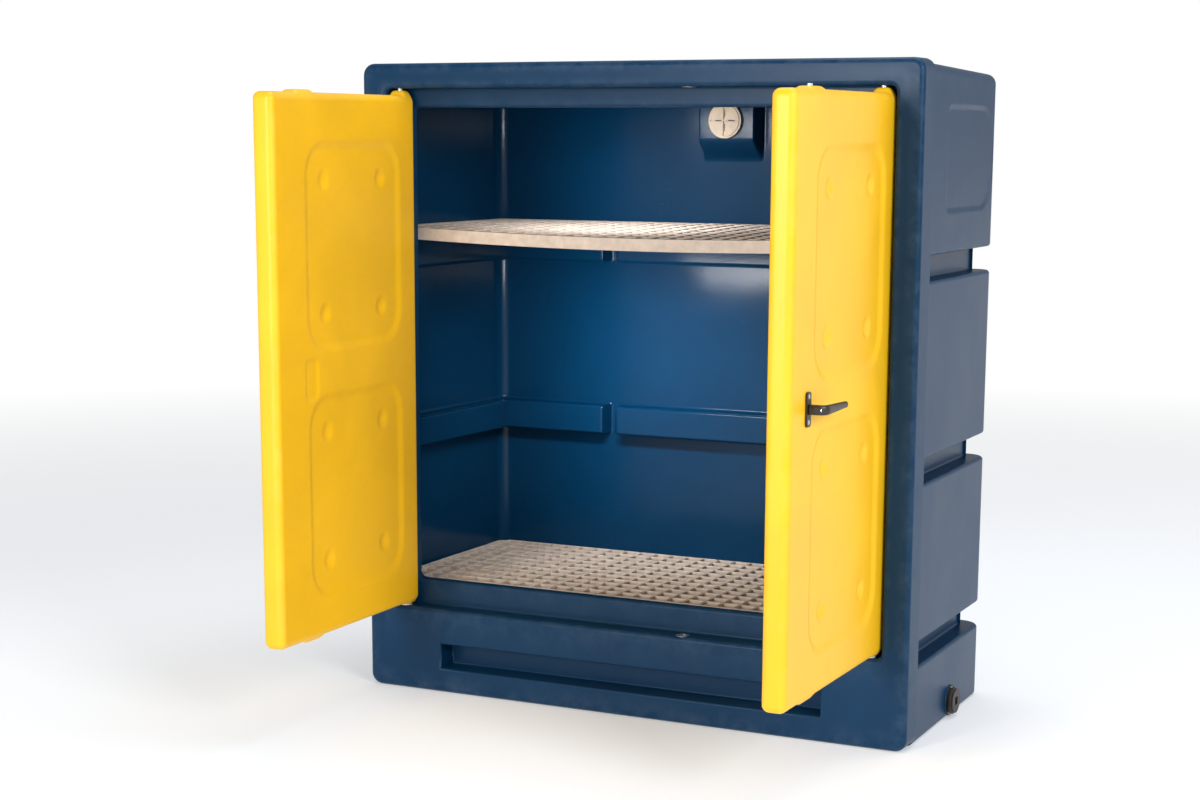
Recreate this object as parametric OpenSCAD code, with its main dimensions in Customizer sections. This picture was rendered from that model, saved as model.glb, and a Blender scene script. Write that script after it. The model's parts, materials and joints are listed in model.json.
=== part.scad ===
// Two-door moulded storage cabinet with a sump, lift-out gratings and a lever-locked leaf.
// Millimetres. +Z is up, the doors face -Y, and the origin is the middle of the base.

/* [Cabinet] */
// Overall width across the front collar
cab_w = 1200; // [1000:10:1440]
// Overall depth without the doors
cab_d = 540; // [450:10:650]
// Overall height
cab_h = 1300; // [1100:10:1560]
// Thickness of the moulded skin
wall = 7; // [5:0.5:9]
// Depth of the front collar
collar_d = 65; // [60:1:90]
// How far the collar stands out past the box behind it
collar_step = 5; // [2:1:8]
// How much the sides and top taper in towards the back
draft = 14; // [6:1:20]
// Radius of the collar's corners
collar_r = 24; // [12:1:34]
// Radius of the upright corners at the back
rear_r = 42; // [25:1:60]
// Radius of the edges round the top
top_r = 20; // [12:1:30]

/* [Front opening] */
// Width of the frame beside each door
stile_w = 54; // [48:1:70]
// Height of the frame above the doors
rail_h = 50; // [46:1:70]
// Height of the sill under the doors
sill_h = 178; // [150:1:220]
// Depth of the rebate that the doors close into
rebate_d = 42; // [38:1:46]
// Width of the stop behind the door edges
stop_w = 38; // [25:1:50]
// Height of the spill step above the sill
step_h = 53; // [40:1:80]

/* [Channels and ledges] */
// Height of each moulded channel
channel_h = 48; // [40:1:56]
// Depth of each moulded channel
channel_d = 38; // [30:1:44]
// Bottom of the channel that carries the floor grating
low_channel_z = 151; // [140:1:170]
// Bottom of the spare channel
mid_channel_z = 507; // [400:1:600]
// Distance from the top down to the bottom of the channel that carries the shelf
shelf_drop = 409; // [360:1:480]
// Width of the two upright ribs that cross the back channels
rib_w = 43; // [34:1:60]
// Distance of those ribs from the middle
rib_x = 278; // [200:1:320]
// Depth of the front ledge under the floor grating
front_ledge_d = 24; // [18:1:34]

/* [Front pocket and side panels] */
// Distance from each side to the pocket in the plinth
pocket_side = 175; // [120:5:220]
// Height of the pocket
pocket_h = 52; // [40:1:70]
// Depth of the pocket
pocket_d = 48; // [30:1:50]
// Height of the pocket above the floor
pocket_z = 52; // [40:1:70]
// Distance from the front to the sunken panel on each side
badge_front = 182; // [140:1:220]
// Distance from the back to the sunken panel
badge_rear = 30; // [20:1:50]
// Height of the sunken panel
badge_h = 196; // [140:2:220]
// Depth of the sunken panel
badge_depth = 2; // [1:0.5:3]
// Corner radius at the front end of the sunken panel
badge_front_r = 15; // [8:1:40]
// Distance from the top down to the middle of the sunken panel
badge_drop = 184; // [150:1:230]

/* [Gratings] */
// Pitch of the grating's square mesh
mesh_pitch = 38; // [30:1:50]
// Thickness of the gratings
grating_t = 25; // [20:1:32]
// Width of a grating bar
bar_w = 7; // [5:0.5:9]
// Gap round a grating
grating_gap = 4; // [2:0.5:8]
// Gap under parts that rest on one another and beside faces that turn on one another
face_gap = 0.3; // [0.2:0.1:0.6]

/* [Doors] */
// Thickness of a door leaf
door_t = 46; // [40:1:52]
// Skin of a door leaf
door_wall = 5; // [4:0.5:6]
// Gap between a door and the stop behind it
stop_gap = 3; // [2:0.5:6]
// Gap above the doors
gap_top = 14; // [12:0.5:20]
// Gap under the doors
gap_bottom = 8; // [6:0.5:14]
// Gap beside each hinge edge
gap_hinge = 8; // [7:0.5:12]
// Gap between the two leaves
gap_middle = 6; // [4:0.5:10]
// Radius of the upright edges of a leaf
leaf_edge_r = 14; // [10:1:18]
// Radius of a leaf's corners seen from the front
leaf_corner_r = 14; // [8:1:24]
// Distance from the hinge pin to the leaf's hinge edge
hinge_inset = 20; // [18:1:28]
// Angle at which the left leaf stands open
left_open = 88; // [80:1:100]
// Angle at which the right leaf stands open
right_open = 91; // [80:1:100]
// Height of the round pads over and under the leaves
boss_h = 5; // [3:0.5:5.5]
// Radius of the pads round the hinge pins
hinge_boss_r = 15; // [14:0.5:18]
// Length of the pads round the shoot bolts
bolt_boss_l = 66; // [50:1:80]
// Distance from a leaf's hinge edge to its two sunken panels
panel_hinge_side = 73; // [60:1:90]
// Distance from the panels to the free edge
panel_free_side = 116; // [90:1:130]
// Distance from the leaf's lower edge to the lower panel
panel_low = 80; // [60:1:100]
// Distance from the upper panel to the leaf's upper edge
panel_high = 96; // [70:1:110]
// Height of the plain band between the two panels
panel_band = 94; // [90:1:120]
// Corner radius of the sunken panels
panel_r = 62; // [40:1:80]
// Depth of the sunken panels
panel_depth = 4; // [2:0.5:5]
// Distance from a panel's edge to the middle of a dimple
dimple_inset = 67.5; // [50:0.5:80]
// Radius of a dimple
dimple_r = 15; // [10:1:20]
// Depth of a dimple
dimple_depth = 3; // [2:0.5:4]
// Width of the blank seat on the left leaf's inner face
blank_w = 42; // [30:1:50]
// Height of the blank seat
blank_h = 76; // [60:1:90]

/* [Hinges] */
// Diameter of the hinge pins
pin_d = 12; // [10:0.5:14]
// Length of each hinge pin inside the leaf
pin_in_leaf = 30; // [22:1:40]
// Outside diameter of the hinge bushes
bush_d = 20; // [18:0.5:24]
// Clearance between a shaft and its bore, all round
running_gap = 0.05; // [0.03:0.01:0.08]

/* [Lever and bolts] */
// Distance from the leaf's free edge to the lever's spindle
spindle_inset = 80; // [70:1:90]
// Diameter of the spindle
spindle_d = 10; // [8:0.5:12]
// Distance from the spindle to the shoot bolts
bolt_offset = 43; // [40:0.5:48]
// Diameter of the shoot bolts
bolt_d = 10; // [8:0.5:12]
// How far a drawn bolt stands past its pad
bolt_tip = 4; // [2:0.5:5]
// Distance of the cam's pins from its axis
cam_throw = 22; // [20:0.5:24]
// Diameter of the cam's pins
cam_pin_d = 8; // [6:0.5:9]
// Thickness of the cam
cam_t = 4; // [3:0.5:5]
// Thickness of the bolts' slotted plates
plate_t = 4; // [3:0.5:5]
// Height of the slot round a cam pin
slot_h = 10.4; // [9.5:0.1:12]
// Width of the lever's backplate
back_w = 20; // [18:0.5:26]
// Height of the backplate
back_h = 60; // [54:1:74]
// Thickness of the backplate
back_t = 4; // [3:0.5:6]
// Stand-off of the lever from the leaf
lever_out = 38; // [30:1:50]
// Reach of the lever from its spindle
lever_len = 102; // [80:1:130]
// Height of the lever at its root
lever_root = 18; // [14:0.5:20]
// Height of the lever at its tip
lever_tip = 10; // [8:0.5:14]

/* [Vent and drain] */
// Distance from the top down to the middle of the vent
vent_drop = 110; // [90:1:140]
// Outside diameter of the vent grille
vent_d = 75; // [60:1:80]
// Diameter of the vent's tube
vent_tube_d = 56; // [46:1:60]
// Width of the hood that carries the vent
hood_w = 136; // [110:2:160]
// Depth of the hood
hood_d = 45; // [40:1:60]
// Diameter of the drain plug's flange
drain_d = 55; // [48:1:60]
// Diameter of the drain thread
drain_thread_d = 46; // [38:1:48]
// Height of the drain's axis
drain_z = 33; // [31:0.5:40]
// Distance from the cabinet's front to the drain's axis
drain_y = 312; // [260:1:360]

/* [Hidden] */
$fn = 48;
eps = 1;
arc_steps = 6;

// Heights and widths that follow the cabinet's size
high_channel_z = cab_h - shelf_drop;
badge_z = cab_h - badge_drop;
badge_l = cab_d - badge_front - badge_rear;
pocket_w = cab_w - 2 * pocket_side;
vent_z = cab_h - vent_drop;

// Front opening, measured from the cabinet's front face and middle
half_open = cab_w / 2 - stile_w;
head_z = cab_h - rail_h;
step_z = sill_h + step_h;

// Leaf sizes and the hinge axis
leaf_w = half_open - gap_hinge - gap_middle / 2;
leaf_top = head_z - gap_top;
leaf_bottom = sill_h + gap_bottom;
leaf_h = leaf_top - leaf_bottom;
hinge_x = half_open - gap_hinge - hinge_inset;
hinge_y = rebate_d - stop_gap - door_t / 2;
pin_end_gap = 1;

// The leaves' sunken panels, from the leaf's hinge edge and lower edge
panel_w = leaf_w - panel_hinge_side - panel_free_side;
panel_h = (leaf_h - panel_low - panel_high - panel_band) / 2;
panel_x = panel_hinge_side + panel_w / 2;
panel_z = panel_low + panel_h / 2;
panel_pitch = panel_h + panel_band;

// Gratings
base_z = low_channel_z + wall + 2;
front_y = collar_d + 3;
floor_z = low_channel_z + channel_h + wall + face_gap;
shelf_z = high_channel_z + channel_h + wall + face_gap;
side_front = cab_w / 2 - collar_step;
side_rear = side_front - draft;
grating_half = side_rear - wall - grating_gap;
grating_front = collar_d + grating_gap;
grating_rear = cab_d - wall - grating_gap;

// Lock, seen in the leaf's own frame: x from the hinge pin, y from the leaf's middle plane
lock_x = leaf_w - spindle_inset - hinge_inset;
rod_x = lock_x - bolt_offset;
spindle_z = leaf_bottom + panel_low + panel_h + panel_band / 2;
bolt_travel = 2 * cam_throw * sin(45);
cam_pin_rest = cam_throw * sin(45);
cam_y = bolt_d / 2 + 0.5;
cam_screw_l = 12;
lever_t = 10;
cam_r = cam_throw + cam_pin_d / 2 + 3;
plate_half = slot_h / 2 + 4;
slot_in = cam_pin_rest - cam_pin_d / 2 - 1;
slot_out = cam_throw + cam_pin_d / 2 + 1;
bolt_boss_w = door_t - 10;
cover_w = 112;
cover_h = 88;
cover_rim = 13;
cover_t = 3;
cover_x = lock_x - 8;
screw_r = 2.5;
screw_head_r = 4.5;
screw_head_h = 2.2;
keeper_flange_h = 1;
keeper_l = 25;

// Vent hood and drain seat
hood_y = cab_d - wall - hood_d;
hood_low_z = vent_z - vent_d / 2 - 9;
hood_wall_z = hood_low_z - 38;
drain_face_x = side_front - draft / 2;
drain_seal_t = 2.4;
drain_flange_z = drain_seal_t + 2 * face_gap;

NAVY = "#24406b";
YELLOW = "#f7c92c";
BEIGE = "#c9b8a6";
BLACK = "#26221f";
STEEL = "#c3c7ca";
BRASS = "#b49a55";
WHITE = "#e8e6df";

// Points of an arc about c, from angle a0 to angle a1
function arc(c, r, a0, a1) =
  [for (i = [0:arc_steps]) let (a = a0 + (a1 - a0) * i / arc_steps) c + r * [cos(a), sin(a)]];

// Plate outline of w by h with corners of radius r, centred
module rounded_plate(w, h, r) {
  square([w - 2 * r, h], center = true);
  square([w, h - 2 * r], center = true);
  for (x = [-1, 1], y = [-1, 1])
    translate([x * (w / 2 - r), y * (h / 2 - r)]) circle(r);
}

// The rear box drawn in by an inset on every side, as three outlines that cross
module plan_outline(inset) {
  f = side_front - inset;
  s = side_rear - inset;
  d = cab_d - inset;
  r = rear_r - min(inset, rear_r - 4);
  linear_extrude(cab_h)
    polygon(concat(
      [[-f, 0], [f, 0]],
      arc([s - r, d - r], r, 0, 90),
      arc([r - s, d - r], r, 90, 180)));
}

module box_form(inset) {
  d = cab_d - inset;
  zf = cab_h - collar_step - inset;
  zr = zf - draft;
  r = max(top_r - inset, 4);
  f = side_front - inset;
  intersection() {
    plan_outline(inset);
    rotate([90, 0, 90]) linear_extrude(cab_w, center = true)
      polygon(concat(
        [[0, inset], [d - r, inset]],
        arc([d - r, inset + r], r, -90, 0),
        arc([d - r, zr - r], r, 0, 90),
        [[0, zf]]));
    rotate([90, 0, 0]) translate([0, 0, -cab_d]) linear_extrude(cab_d)
      polygon(concat(
        [[-f, inset], [f, inset]],
        arc([f - r, zf - r], r, 0, 90),
        arc([r - f, zf - r], r, 90, 180)));
  }
}

// A band between two heights, outside the plan outline drawn in by an inset,
// broken by the two upright ribs of a given width
module channel_band(z0, z1, inset, rib) {
  difference() {
    translate([-cab_w, collar_d, z0]) cube([2 * cab_w, cab_d, z1 - z0]);
    plan_outline(inset);
    for (side = [-1, 1])
      translate([side * rib_x - rib / 2, cab_d - inset - rear_r, z0 - eps])
        cube([rib, 2 * rear_r + inset, z1 - z0 + 2 * eps]);
  }
}

module channels_outside() {
  for (z = [low_channel_z, mid_channel_z, high_channel_z])
    channel_band(z, z + channel_h, channel_d, rib_w);
}

module ledges_inside() {
  for (z = [low_channel_z, mid_channel_z, high_channel_z])
    channel_band(z - wall, z + channel_h + wall, channel_d + wall, rib_w - 2 * wall);
}

// Hood behind the vent, drawn in by an inset so that it serves as skin and as recess
module hood(inset) {
  rotate([90, 0, 90]) linear_extrude(hood_w - 2 * inset, center = true)
    polygon([
      [cab_d - wall + 2 * inset, hood_wall_z + inset * 0.4],
      [hood_y + inset, hood_low_z + inset],
      [hood_y + inset, cab_h - collar_step - 5 * inset],
      [cab_d - wall + 2 * inset, cab_h - collar_step - 5 * inset]]);
}

module collar_outline() {
  translate([0, cab_h / 2]) rounded_plate(cab_w, cab_h, collar_r);
}

// Extrudes an outline drawn in X and Z from the front face towards the back
module from_front(depth) {
  translate([0, depth, 0]) rotate([90, 0, 0]) linear_extrude(depth) children();
}

// The hollow inside the collar, which leaves a skin round the frame and the pocket
module collar_hollow() {
  translate([0, wall, 0]) difference() {
    from_front(collar_d - 2 * wall)
      translate([0, cab_h / 2]) rounded_plate(cab_w - 2 * wall, cab_h - 2 * wall, collar_r - wall);
    translate([-half_open - wall, -eps, sill_h - wall])
      cube([2 * (half_open + wall), collar_d, head_z - sill_h + 2 * wall]);
    translate([-pocket_w / 2 - wall, -eps, pocket_z - wall])
      cube([pocket_w + 2 * wall, pocket_d + eps, pocket_h + 2 * wall]);
    for (side = [-1, 1]) {
      translate([side * hinge_x, hinge_y - wall, head_z - eps]) cylinder(r = 14, h = rail_h);
      translate([side * hinge_x, hinge_y - wall, sill_h - 64]) cylinder(r = 14, h = 64);
    }
  }
}

// The clear opening: the rebate for the doors, then the mouth inside the stops
module front_opening() {
  translate([-half_open, -eps, sill_h]) cube([2 * half_open, rebate_d + eps, head_z - sill_h]);
  translate([stop_w - half_open, 0, step_z])
    cube([2 * (half_open - stop_w), collar_d + eps, head_z - stop_w - step_z]);
}

module interior() {
  difference() {
    box_form(wall);
    translate([-cab_w, -eps, -eps]) cube([2 * cab_w, collar_d + eps, cab_h + 2 * eps]);
    ledges_inside();
    hood(0);
    translate([-cab_w / 2, collar_d - eps, floor_z - face_gap - 2 * wall])
      cube([cab_w, front_ledge_d + eps, 2 * wall]);
    translate([drain_face_x - 34, drain_y, drain_z]) rotate([0, 90, 0])
      cylinder(r = drain_d / 2 + 6, h = 60);
  }
}

// Outline of a sunken side panel: nearly square at the front and round at the back
module badge_outline() {
  rounded_plate(badge_h, badge_l, badge_h / 2 - 1);
  translate([0, -badge_l / 4]) rounded_plate(badge_h, badge_l / 2, badge_front_r);
}

module side_panels() {
  difference() {
    for (side = [-1, 1])
      translate([side * cab_w / 2, badge_front + badge_l / 2, badge_z]) rotate([0, 90, 0])
        linear_extrude(60, center = true) badge_outline();
    plan_outline(badge_depth);
  }
}

module drain_seat() {
  intersection() {
    translate([drain_face_x - 30, drain_y, drain_z]) rotate([0, 90, 0])
      cylinder(r = drain_d / 2 + 4, h = 31);
    cube([cab_w, cab_d, cab_h]);
  }
}

module from_middle() {
  translate([0, -cab_d / 2, 0]) children();
}

module body_form() {
  difference() {
    union() {
      difference() {
        box_form(0);
        translate([-cab_w, -eps, -eps]) cube([2 * cab_w, collar_d - wall + eps, cab_h + 2 * eps]);
        channels_outside();
        side_panels();
      }
      from_front(collar_d) collar_outline();
      drain_seat();
    }
    interior();
    collar_hollow();
    front_opening();
    hood(wall);
    translate([-pocket_w / 2, -eps, pocket_z]) cube([pocket_w, pocket_d + eps, pocket_h]);
    translate([0, cab_d, vent_z]) rotate([90, 0, 0]) cylinder(d = vent_tube_d, h = hood_d + 2 * wall);
    translate([drain_face_x - 34, drain_y, drain_z]) rotate([0, 90, 0])
      cylinder(r = drain_d / 2 + 0.5, h = 36);
    for (side = [-1, 1]) {
      translate([side * hinge_x, hinge_y, head_z - eps]) cylinder(d = pin_d, h = rail_h - wall);
      translate([side * hinge_x, hinge_y, sill_h - 56]) cylinder(d = pin_d, h = 56 + eps);
    }
    for (z = [head_z, sill_h - keeper_l - eps])
      translate([hinge_x - rod_x, hinge_y, z - eps]) cylinder(d = bolt_d + 10, h = keeper_l + 2 * eps);
  }
}

// The one moulding is told in four parts that meet face to face: across its lowest channel
// and just behind the collar. This one is what lies between two depths and two heights.
module body_part(y0, y1, z0, z1) {
  color(NAVY) from_middle() intersection() {
    body_form();
    translate([-cab_w, y0, z0]) cube([2 * cab_w, y1 - y0, z1 - z0]);
  }
}

module body_shell() {
  body_part(front_y, cab_d + eps, base_z, cab_h + eps);
}

module body_base() {
  body_part(front_y, cab_d + eps, -eps, base_z);
}

module body_collar() {
  body_part(-eps, front_y, base_z, cab_h + eps);
}

module body_plinth() {
  body_part(-eps, front_y, -eps, base_z);
}

// Square-mesh grating with closed edges, its back corners clear of the rounded wall
module grating(depth_front, z) {
  w = 2 * grating_half;
  d = grating_rear - depth_front;
  nx = floor((w - bar_w) / mesh_pitch);
  ny = floor((d - bar_w) / mesh_pitch);
  cell = mesh_pitch - bar_w;
  x0 = -(nx * mesh_pitch - bar_w) / 2;
  y0 = depth_front + (d - ny * mesh_pitch + bar_w) / 2;
  clip = rear_r - wall;
  translate([0, 0, z]) linear_extrude(grating_t) difference() {
    polygon([
      [-w / 2, depth_front], [w / 2, depth_front],
      [w / 2, grating_rear - clip], [w / 2 - clip, grating_rear],
      [clip - w / 2, grating_rear], [-w / 2, grating_rear - clip]]);
    for (i = [0:nx - 1], j = [0:ny - 1])
      if (!(j >= ny - 1 && (i == 0 || i == nx - 1)))
        translate([x0 + i * mesh_pitch, y0 + j * mesh_pitch]) square(cell);
  }
}

module upper_shelf() {
  color(BEIGE) from_middle() grating(grating_front, shelf_z);
}

module floor_grating() {
  color(BEIGE) from_middle() grating(grating_front, floor_z);
}

// Places children with +Z pointing out of the hood's front face, towards the doors
module at_vent(y) {
  translate([0, y, vent_z]) rotate([90, 0, 0]) children();
}

module vent_grille() {
  color(BEIGE) from_middle() at_vent(hood_y) difference() {
    union() {
      cylinder(d = vent_d, h = 8);
      cylinder(d = vent_d - 8, h = 11);
    }
    translate([0, 0, -eps]) cylinder(d = vent_tube_d - 6, h = 6 + eps);
    for (a = [0, 90])
      rotate(a) translate([0, 0, 10]) cube([vent_d - 12, 4, 4], center = true);
    for (a = [0:90:270])
      rotate(a) translate([vent_d / 5, 0, 6]) cube([vent_d / 5, 2, 14], center = true);
  }
}

module vent_tube() {
  color(BEIGE) from_middle() at_vent(hood_y + 26) difference() {
    cylinder(d = vent_tube_d, h = 26);
    translate([0, 0, -eps]) cylinder(d = vent_tube_d - 8, h = 26 + 2 * eps);
  }
}

module vent_nut() {
  color(BEIGE) from_middle() at_vent(hood_y + wall + 9) difference() {
    cylinder(d = vent_tube_d + 16, h = 9, $fn = 8);
    translate([0, 0, -eps]) cylinder(d = vent_tube_d, h = 9 + 2 * eps);
  }
}

module vent_louvre() {
  color(BLACK) from_middle() at_vent(hood_y + 34) difference() {
    cylinder(d = vent_tube_d + 12, h = 16);
    translate([0, 0, 8]) cylinder(d = vent_tube_d, h = 9);
    for (k = [-2:2])
      translate([0, k * 9, 3]) cube([vent_tube_d - 12, 3, 12], center = true);
  }
}

// Places children with +Z pointing out of the cabinet's right side at the drain
module at_drain(out) {
  translate([drain_face_x + 1 + out, drain_y, drain_z]) rotate([0, 90, 0]) children();
}

module drain_bush() {
  color(BRASS) from_middle() at_drain(-35) difference() {
    cylinder(r = drain_d / 2 + 0.5, h = 35);
    translate([0, 0, -eps]) cylinder(r = drain_thread_d / 2 + running_gap, h = 35 + 2 * eps);
  }
}

module drain_seal() {
  color(BLACK) from_middle() at_drain(drain_seal_t / 2 + face_gap) rotate_extrude()
    translate([drain_thread_d / 2 + drain_seal_t / 2 + face_gap, 0]) circle(d = drain_seal_t);
}

module drain_plug() {
  color(BLACK) from_middle() difference() {
    union() {
      at_drain(drain_flange_z) cylinder(d = drain_d, h = 5);
      at_drain(drain_flange_z) cylinder(d = drain_d - 5, h = 10);
      at_drain(-28) cylinder(d = drain_thread_d, h = 28 + drain_flange_z + eps);
    }
    at_drain(drain_flange_z + 2) cube([16, 16, 24], center = true);
    at_drain(-30) cylinder(d = drain_thread_d - 14, h = 18);
  }
}

module hinge_pins() {
  color(STEEL) from_middle() for (side = [-1, 1]) {
    translate([side * hinge_x, hinge_y, leaf_top + boss_h - pin_in_leaf + pin_end_gap])
      cylinder(d = pin_d, h = cab_h - 12 - leaf_top - boss_h + pin_in_leaf - pin_end_gap);
    translate([side * hinge_x, hinge_y, sill_h - 54])
      cylinder(d = pin_d, h = 54 + gap_bottom - boss_h + pin_in_leaf - pin_end_gap);
  }
}

module hinge_washers() {
  color(WHITE) from_middle() for (side = [-1, 1])
    translate([side * hinge_x, hinge_y, sill_h]) difference() {
      cylinder(d = bush_d + 4, h = gap_bottom - boss_h - face_gap);
      translate([0, 0, -eps]) cylinder(d = pin_d, h = gap_bottom + 2 * eps);
    }
}

// Flanged tubes let into the rail and the sill, one upside down over the other
module bolt_keepers() {
  color(STEEL) from_middle() for (low = [0, 1])
    translate([hinge_x - rod_x, hinge_y, low > 0 ? sill_h : head_z]) mirror([0, 0, low])
      difference() {
        union() {
          cylinder(d = bolt_d + 10, h = keeper_l);
          translate([0, 0, -keeper_flange_h]) cylinder(d = bolt_d + 18, h = keeper_flange_h);
        }
        translate([0, 0, -2 * eps]) cylinder(d = bolt_d + 4, h = keeper_l + 3 * eps);
      }
}

// A leaf's place: x runs from the hinge pin to the free edge and y from its middle plane,
// outer face at -y. side is -1 for the left leaf and 1 for the right one.
module on_leaf(side) {
  angle = side < 0 ? -left_open : right_open;
  from_middle() translate([side * hinge_x, hinge_y, 0]) rotate([0, 0, angle])
    mirror([side > 0 ? 1 : 0, 0, 0]) children();
}

// The leaf's outline through its thickness, seen from above
module leaf_plan(skin) {
  translate([leaf_w / 2 - hinge_inset, 0])
    rounded_plate(leaf_w - 2 * skin, door_t - 2 * skin, leaf_edge_r - skin);
}

module leaf_block(skin) {
  intersection() {
    translate([0, 0, leaf_bottom + skin]) linear_extrude(leaf_h - 2 * skin) leaf_plan(skin);
    translate([leaf_w / 2 - hinge_inset, door_t, leaf_bottom + leaf_h / 2]) rotate([90, 0, 0])
      linear_extrude(2 * door_t) rounded_plate(leaf_w - 2 * skin, leaf_h - 2 * skin, leaf_corner_r - skin);
  }
}

module at_panels() {
  for (k = [0, 1])
    translate([panel_x - hinge_inset, 0, leaf_bottom + panel_z + k * panel_pitch])
      rotate([90, 0, 0]) children();
}

// Both faces' sunken panels, from a half thickness outwards, grown by a skin
module panel_recesses(from_y, grow) {
  at_panels() for (face = [-1, 1])
    translate([0, 0, face * (from_y + door_t / 2)])
      linear_extrude(door_t, center = true)
        rounded_plate(panel_w + 2 * grow, panel_h + 2 * grow, panel_r + grow);
}

module at_dimples() {
  at_panels() for (dx = [-1, 1], dz = [-1, 1])
    translate([dx * (panel_w / 2 - dimple_inset), dz * (panel_h / 2 - dimple_inset), 0]) children();
}

module leaf_pads() {
  translate([0, 0, leaf_bottom - boss_h]) cylinder(r = hinge_boss_r, h = leaf_h + 2 * boss_h);
  translate([rod_x, 0, leaf_bottom - boss_h]) linear_extrude(leaf_h + 2 * boss_h)
    rounded_plate(bolt_boss_l, bolt_boss_w, bolt_boss_w / 2 - 1);
}

// Columns that tie the skins together round the pins and the bolt guides
module leaf_columns() {
  for (p = [[0, bush_d / 2 + 5], [rod_x, bolt_d / 2 + 8]], z = [leaf_bottom, leaf_top - pin_in_leaf - 6])
    translate([p[0], 0, z]) cylinder(r = p[1], h = pin_in_leaf + 6);
  at_dimples() cylinder(r = dimple_r + door_wall, h = door_t - 2 * panel_depth, center = true);
}

module leaf_shell() {
  difference() {
    union() {
      leaf_block(0);
      leaf_pads();
    }
    panel_recesses(door_t / 2 - panel_depth, 0);
    at_dimples() for (face = [-1, 1])
      translate([0, 0, face * (door_t / 2 - panel_depth - dimple_depth + 10)])
        cylinder(r = dimple_r, h = 20, center = true);
    difference() {
      leaf_block(door_wall);
      panel_recesses(door_t / 2 - panel_depth - door_wall, door_wall);
      leaf_columns();
    }
    for (z = [leaf_bottom - boss_h - eps, leaf_top + boss_h - pin_in_leaf])
      translate([0, 0, z]) cylinder(d = bush_d, h = pin_in_leaf + eps);
  }
}

module leaf_bushes() {
  for (z = [leaf_bottom - boss_h, leaf_top + boss_h - pin_in_leaf])
    translate([0, 0, z]) difference() {
      cylinder(d = bush_d, h = pin_in_leaf);
      translate([0, 0, -eps]) cylinder(r = pin_d / 2 + running_gap, h = pin_in_leaf + 2 * eps);
    }
}

module left_door() {
  color(YELLOW) on_leaf(-1) difference() {
    leaf_shell();
    translate([rod_x - blank_w / 2, door_t / 2 - dimple_depth, spindle_z - 8 - blank_h / 2])
      cube([blank_w, dimple_depth + eps, blank_h]);
  }
}

module left_door_bushes() {
  color(WHITE) on_leaf(-1) leaf_bushes();
}

module at_cover_screws() {
  for (dx = [-1, 1], dz = [-1, 1])
    translate([cover_x + dx * (cover_w / 2 - 7), door_t / 2, spindle_z + dz * (cover_h / 2 - 7)])
      rotate([90, 0, 0]) children();
}

module at_back_screws() {
  for (dz = [-1, 1])
    translate([lock_x, -door_t / 2, spindle_z + dz * (back_h / 2 - 8)]) rotate([90, 0, 0]) children();
}

module right_door() {
  color(YELLOW) on_leaf(1) difference() {
    leaf_shell();
    translate([rod_x, 0, leaf_bottom - 2 * boss_h]) cylinder(d = bolt_d + 6, h = leaf_h + 4 * boss_h);
    translate([lock_x, 0, spindle_z]) rotate([90, 0, 0]) cylinder(d = spindle_d + 6, h = door_t);
    translate([cover_x - cover_w / 2 + cover_rim, 0, spindle_z - cover_h / 2 + cover_rim])
      cube([cover_w - 2 * cover_rim, door_t, cover_h - 2 * cover_rim]);
    at_cover_screws() cylinder(r = screw_r, h = 2 * door_wall + 2, center = true);
    at_back_screws() cylinder(r = screw_r, h = 2 * door_wall + 2, center = true);
  }
}

module right_door_bushes() {
  color(WHITE) on_leaf(1) leaf_bushes();
}

module bolt_guides() {
  color(WHITE) on_leaf(1) for (z = [leaf_bottom - boss_h, leaf_top + boss_h - 16])
    translate([rod_x, 0, z]) difference() {
      cylinder(d = bolt_d + 6, h = 16);
      translate([0, 0, -eps]) cylinder(r = bolt_d / 2 + running_gap, h = 16 + 2 * eps);
    }
}

// Places children on the spindle's axis with +Z pointing out of the leaf's outer face,
// starting a given distance inside (negative) or outside (positive) that face
module at_spindle(out) {
  translate([lock_x, -door_t / 2 - out, spindle_z]) rotate([90, 0, 0]) children();
}

module spindle_bush() {
  color(WHITE) on_leaf(1) at_spindle(-16) difference() {
    cylinder(d = spindle_d + 6, h = 16);
    translate([0, 0, -eps]) cylinder(r = spindle_d / 2 + running_gap, h = 16 + 2 * eps);
  }
}

module handle_backplate() {
  color(BLACK) on_leaf(1) difference() {
    at_spindle(0) linear_extrude(back_t) difference() {
      rounded_plate(back_w, back_h, 6);
      circle(r = spindle_d / 2 + 1);
    }
    at_back_screws() translate([0, 0, -eps]) cylinder(r = screw_r, h = back_t + 2 * eps);
    at_back_screws() translate([0, 0, back_t - screw_head_h]) cylinder(r = screw_head_r, h = back_t);
  }
}

module backplate_screws() {
  color(STEEL) on_leaf(1) at_back_screws() {
    translate([0, 0, back_t - screw_head_h]) cylinder(r = screw_head_r, h = screw_head_h);
    translate([0, 0, -12]) cylinder(r = screw_r, h = 12 + back_t - screw_head_h + eps);
  }
}

// Lever arm: a tapered bar with round ends that reaches from the spindle to the hinge side
module lever_handle() {
  hub_from = back_t + 2 * face_gap;
  color(BLACK) on_leaf(1) difference() {
    union() {
      at_spindle(hub_from) cylinder(d = lever_root, h = lever_out - hub_from);
      at_spindle(lever_out - lever_t) linear_extrude(lever_t) {
        circle(d = lever_root);
        translate([-lever_len + lever_tip / 2, 0]) circle(d = lever_tip);
        polygon([[0, lever_root / 2], [0, -lever_root / 2],
          [-lever_len + lever_tip / 2, -lever_tip / 2], [-lever_len + lever_tip / 2, lever_tip / 2]]);
      }
    }
    at_spindle(0) cylinder(d = spindle_d, h = lever_out - lever_t);
  }
}

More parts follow.
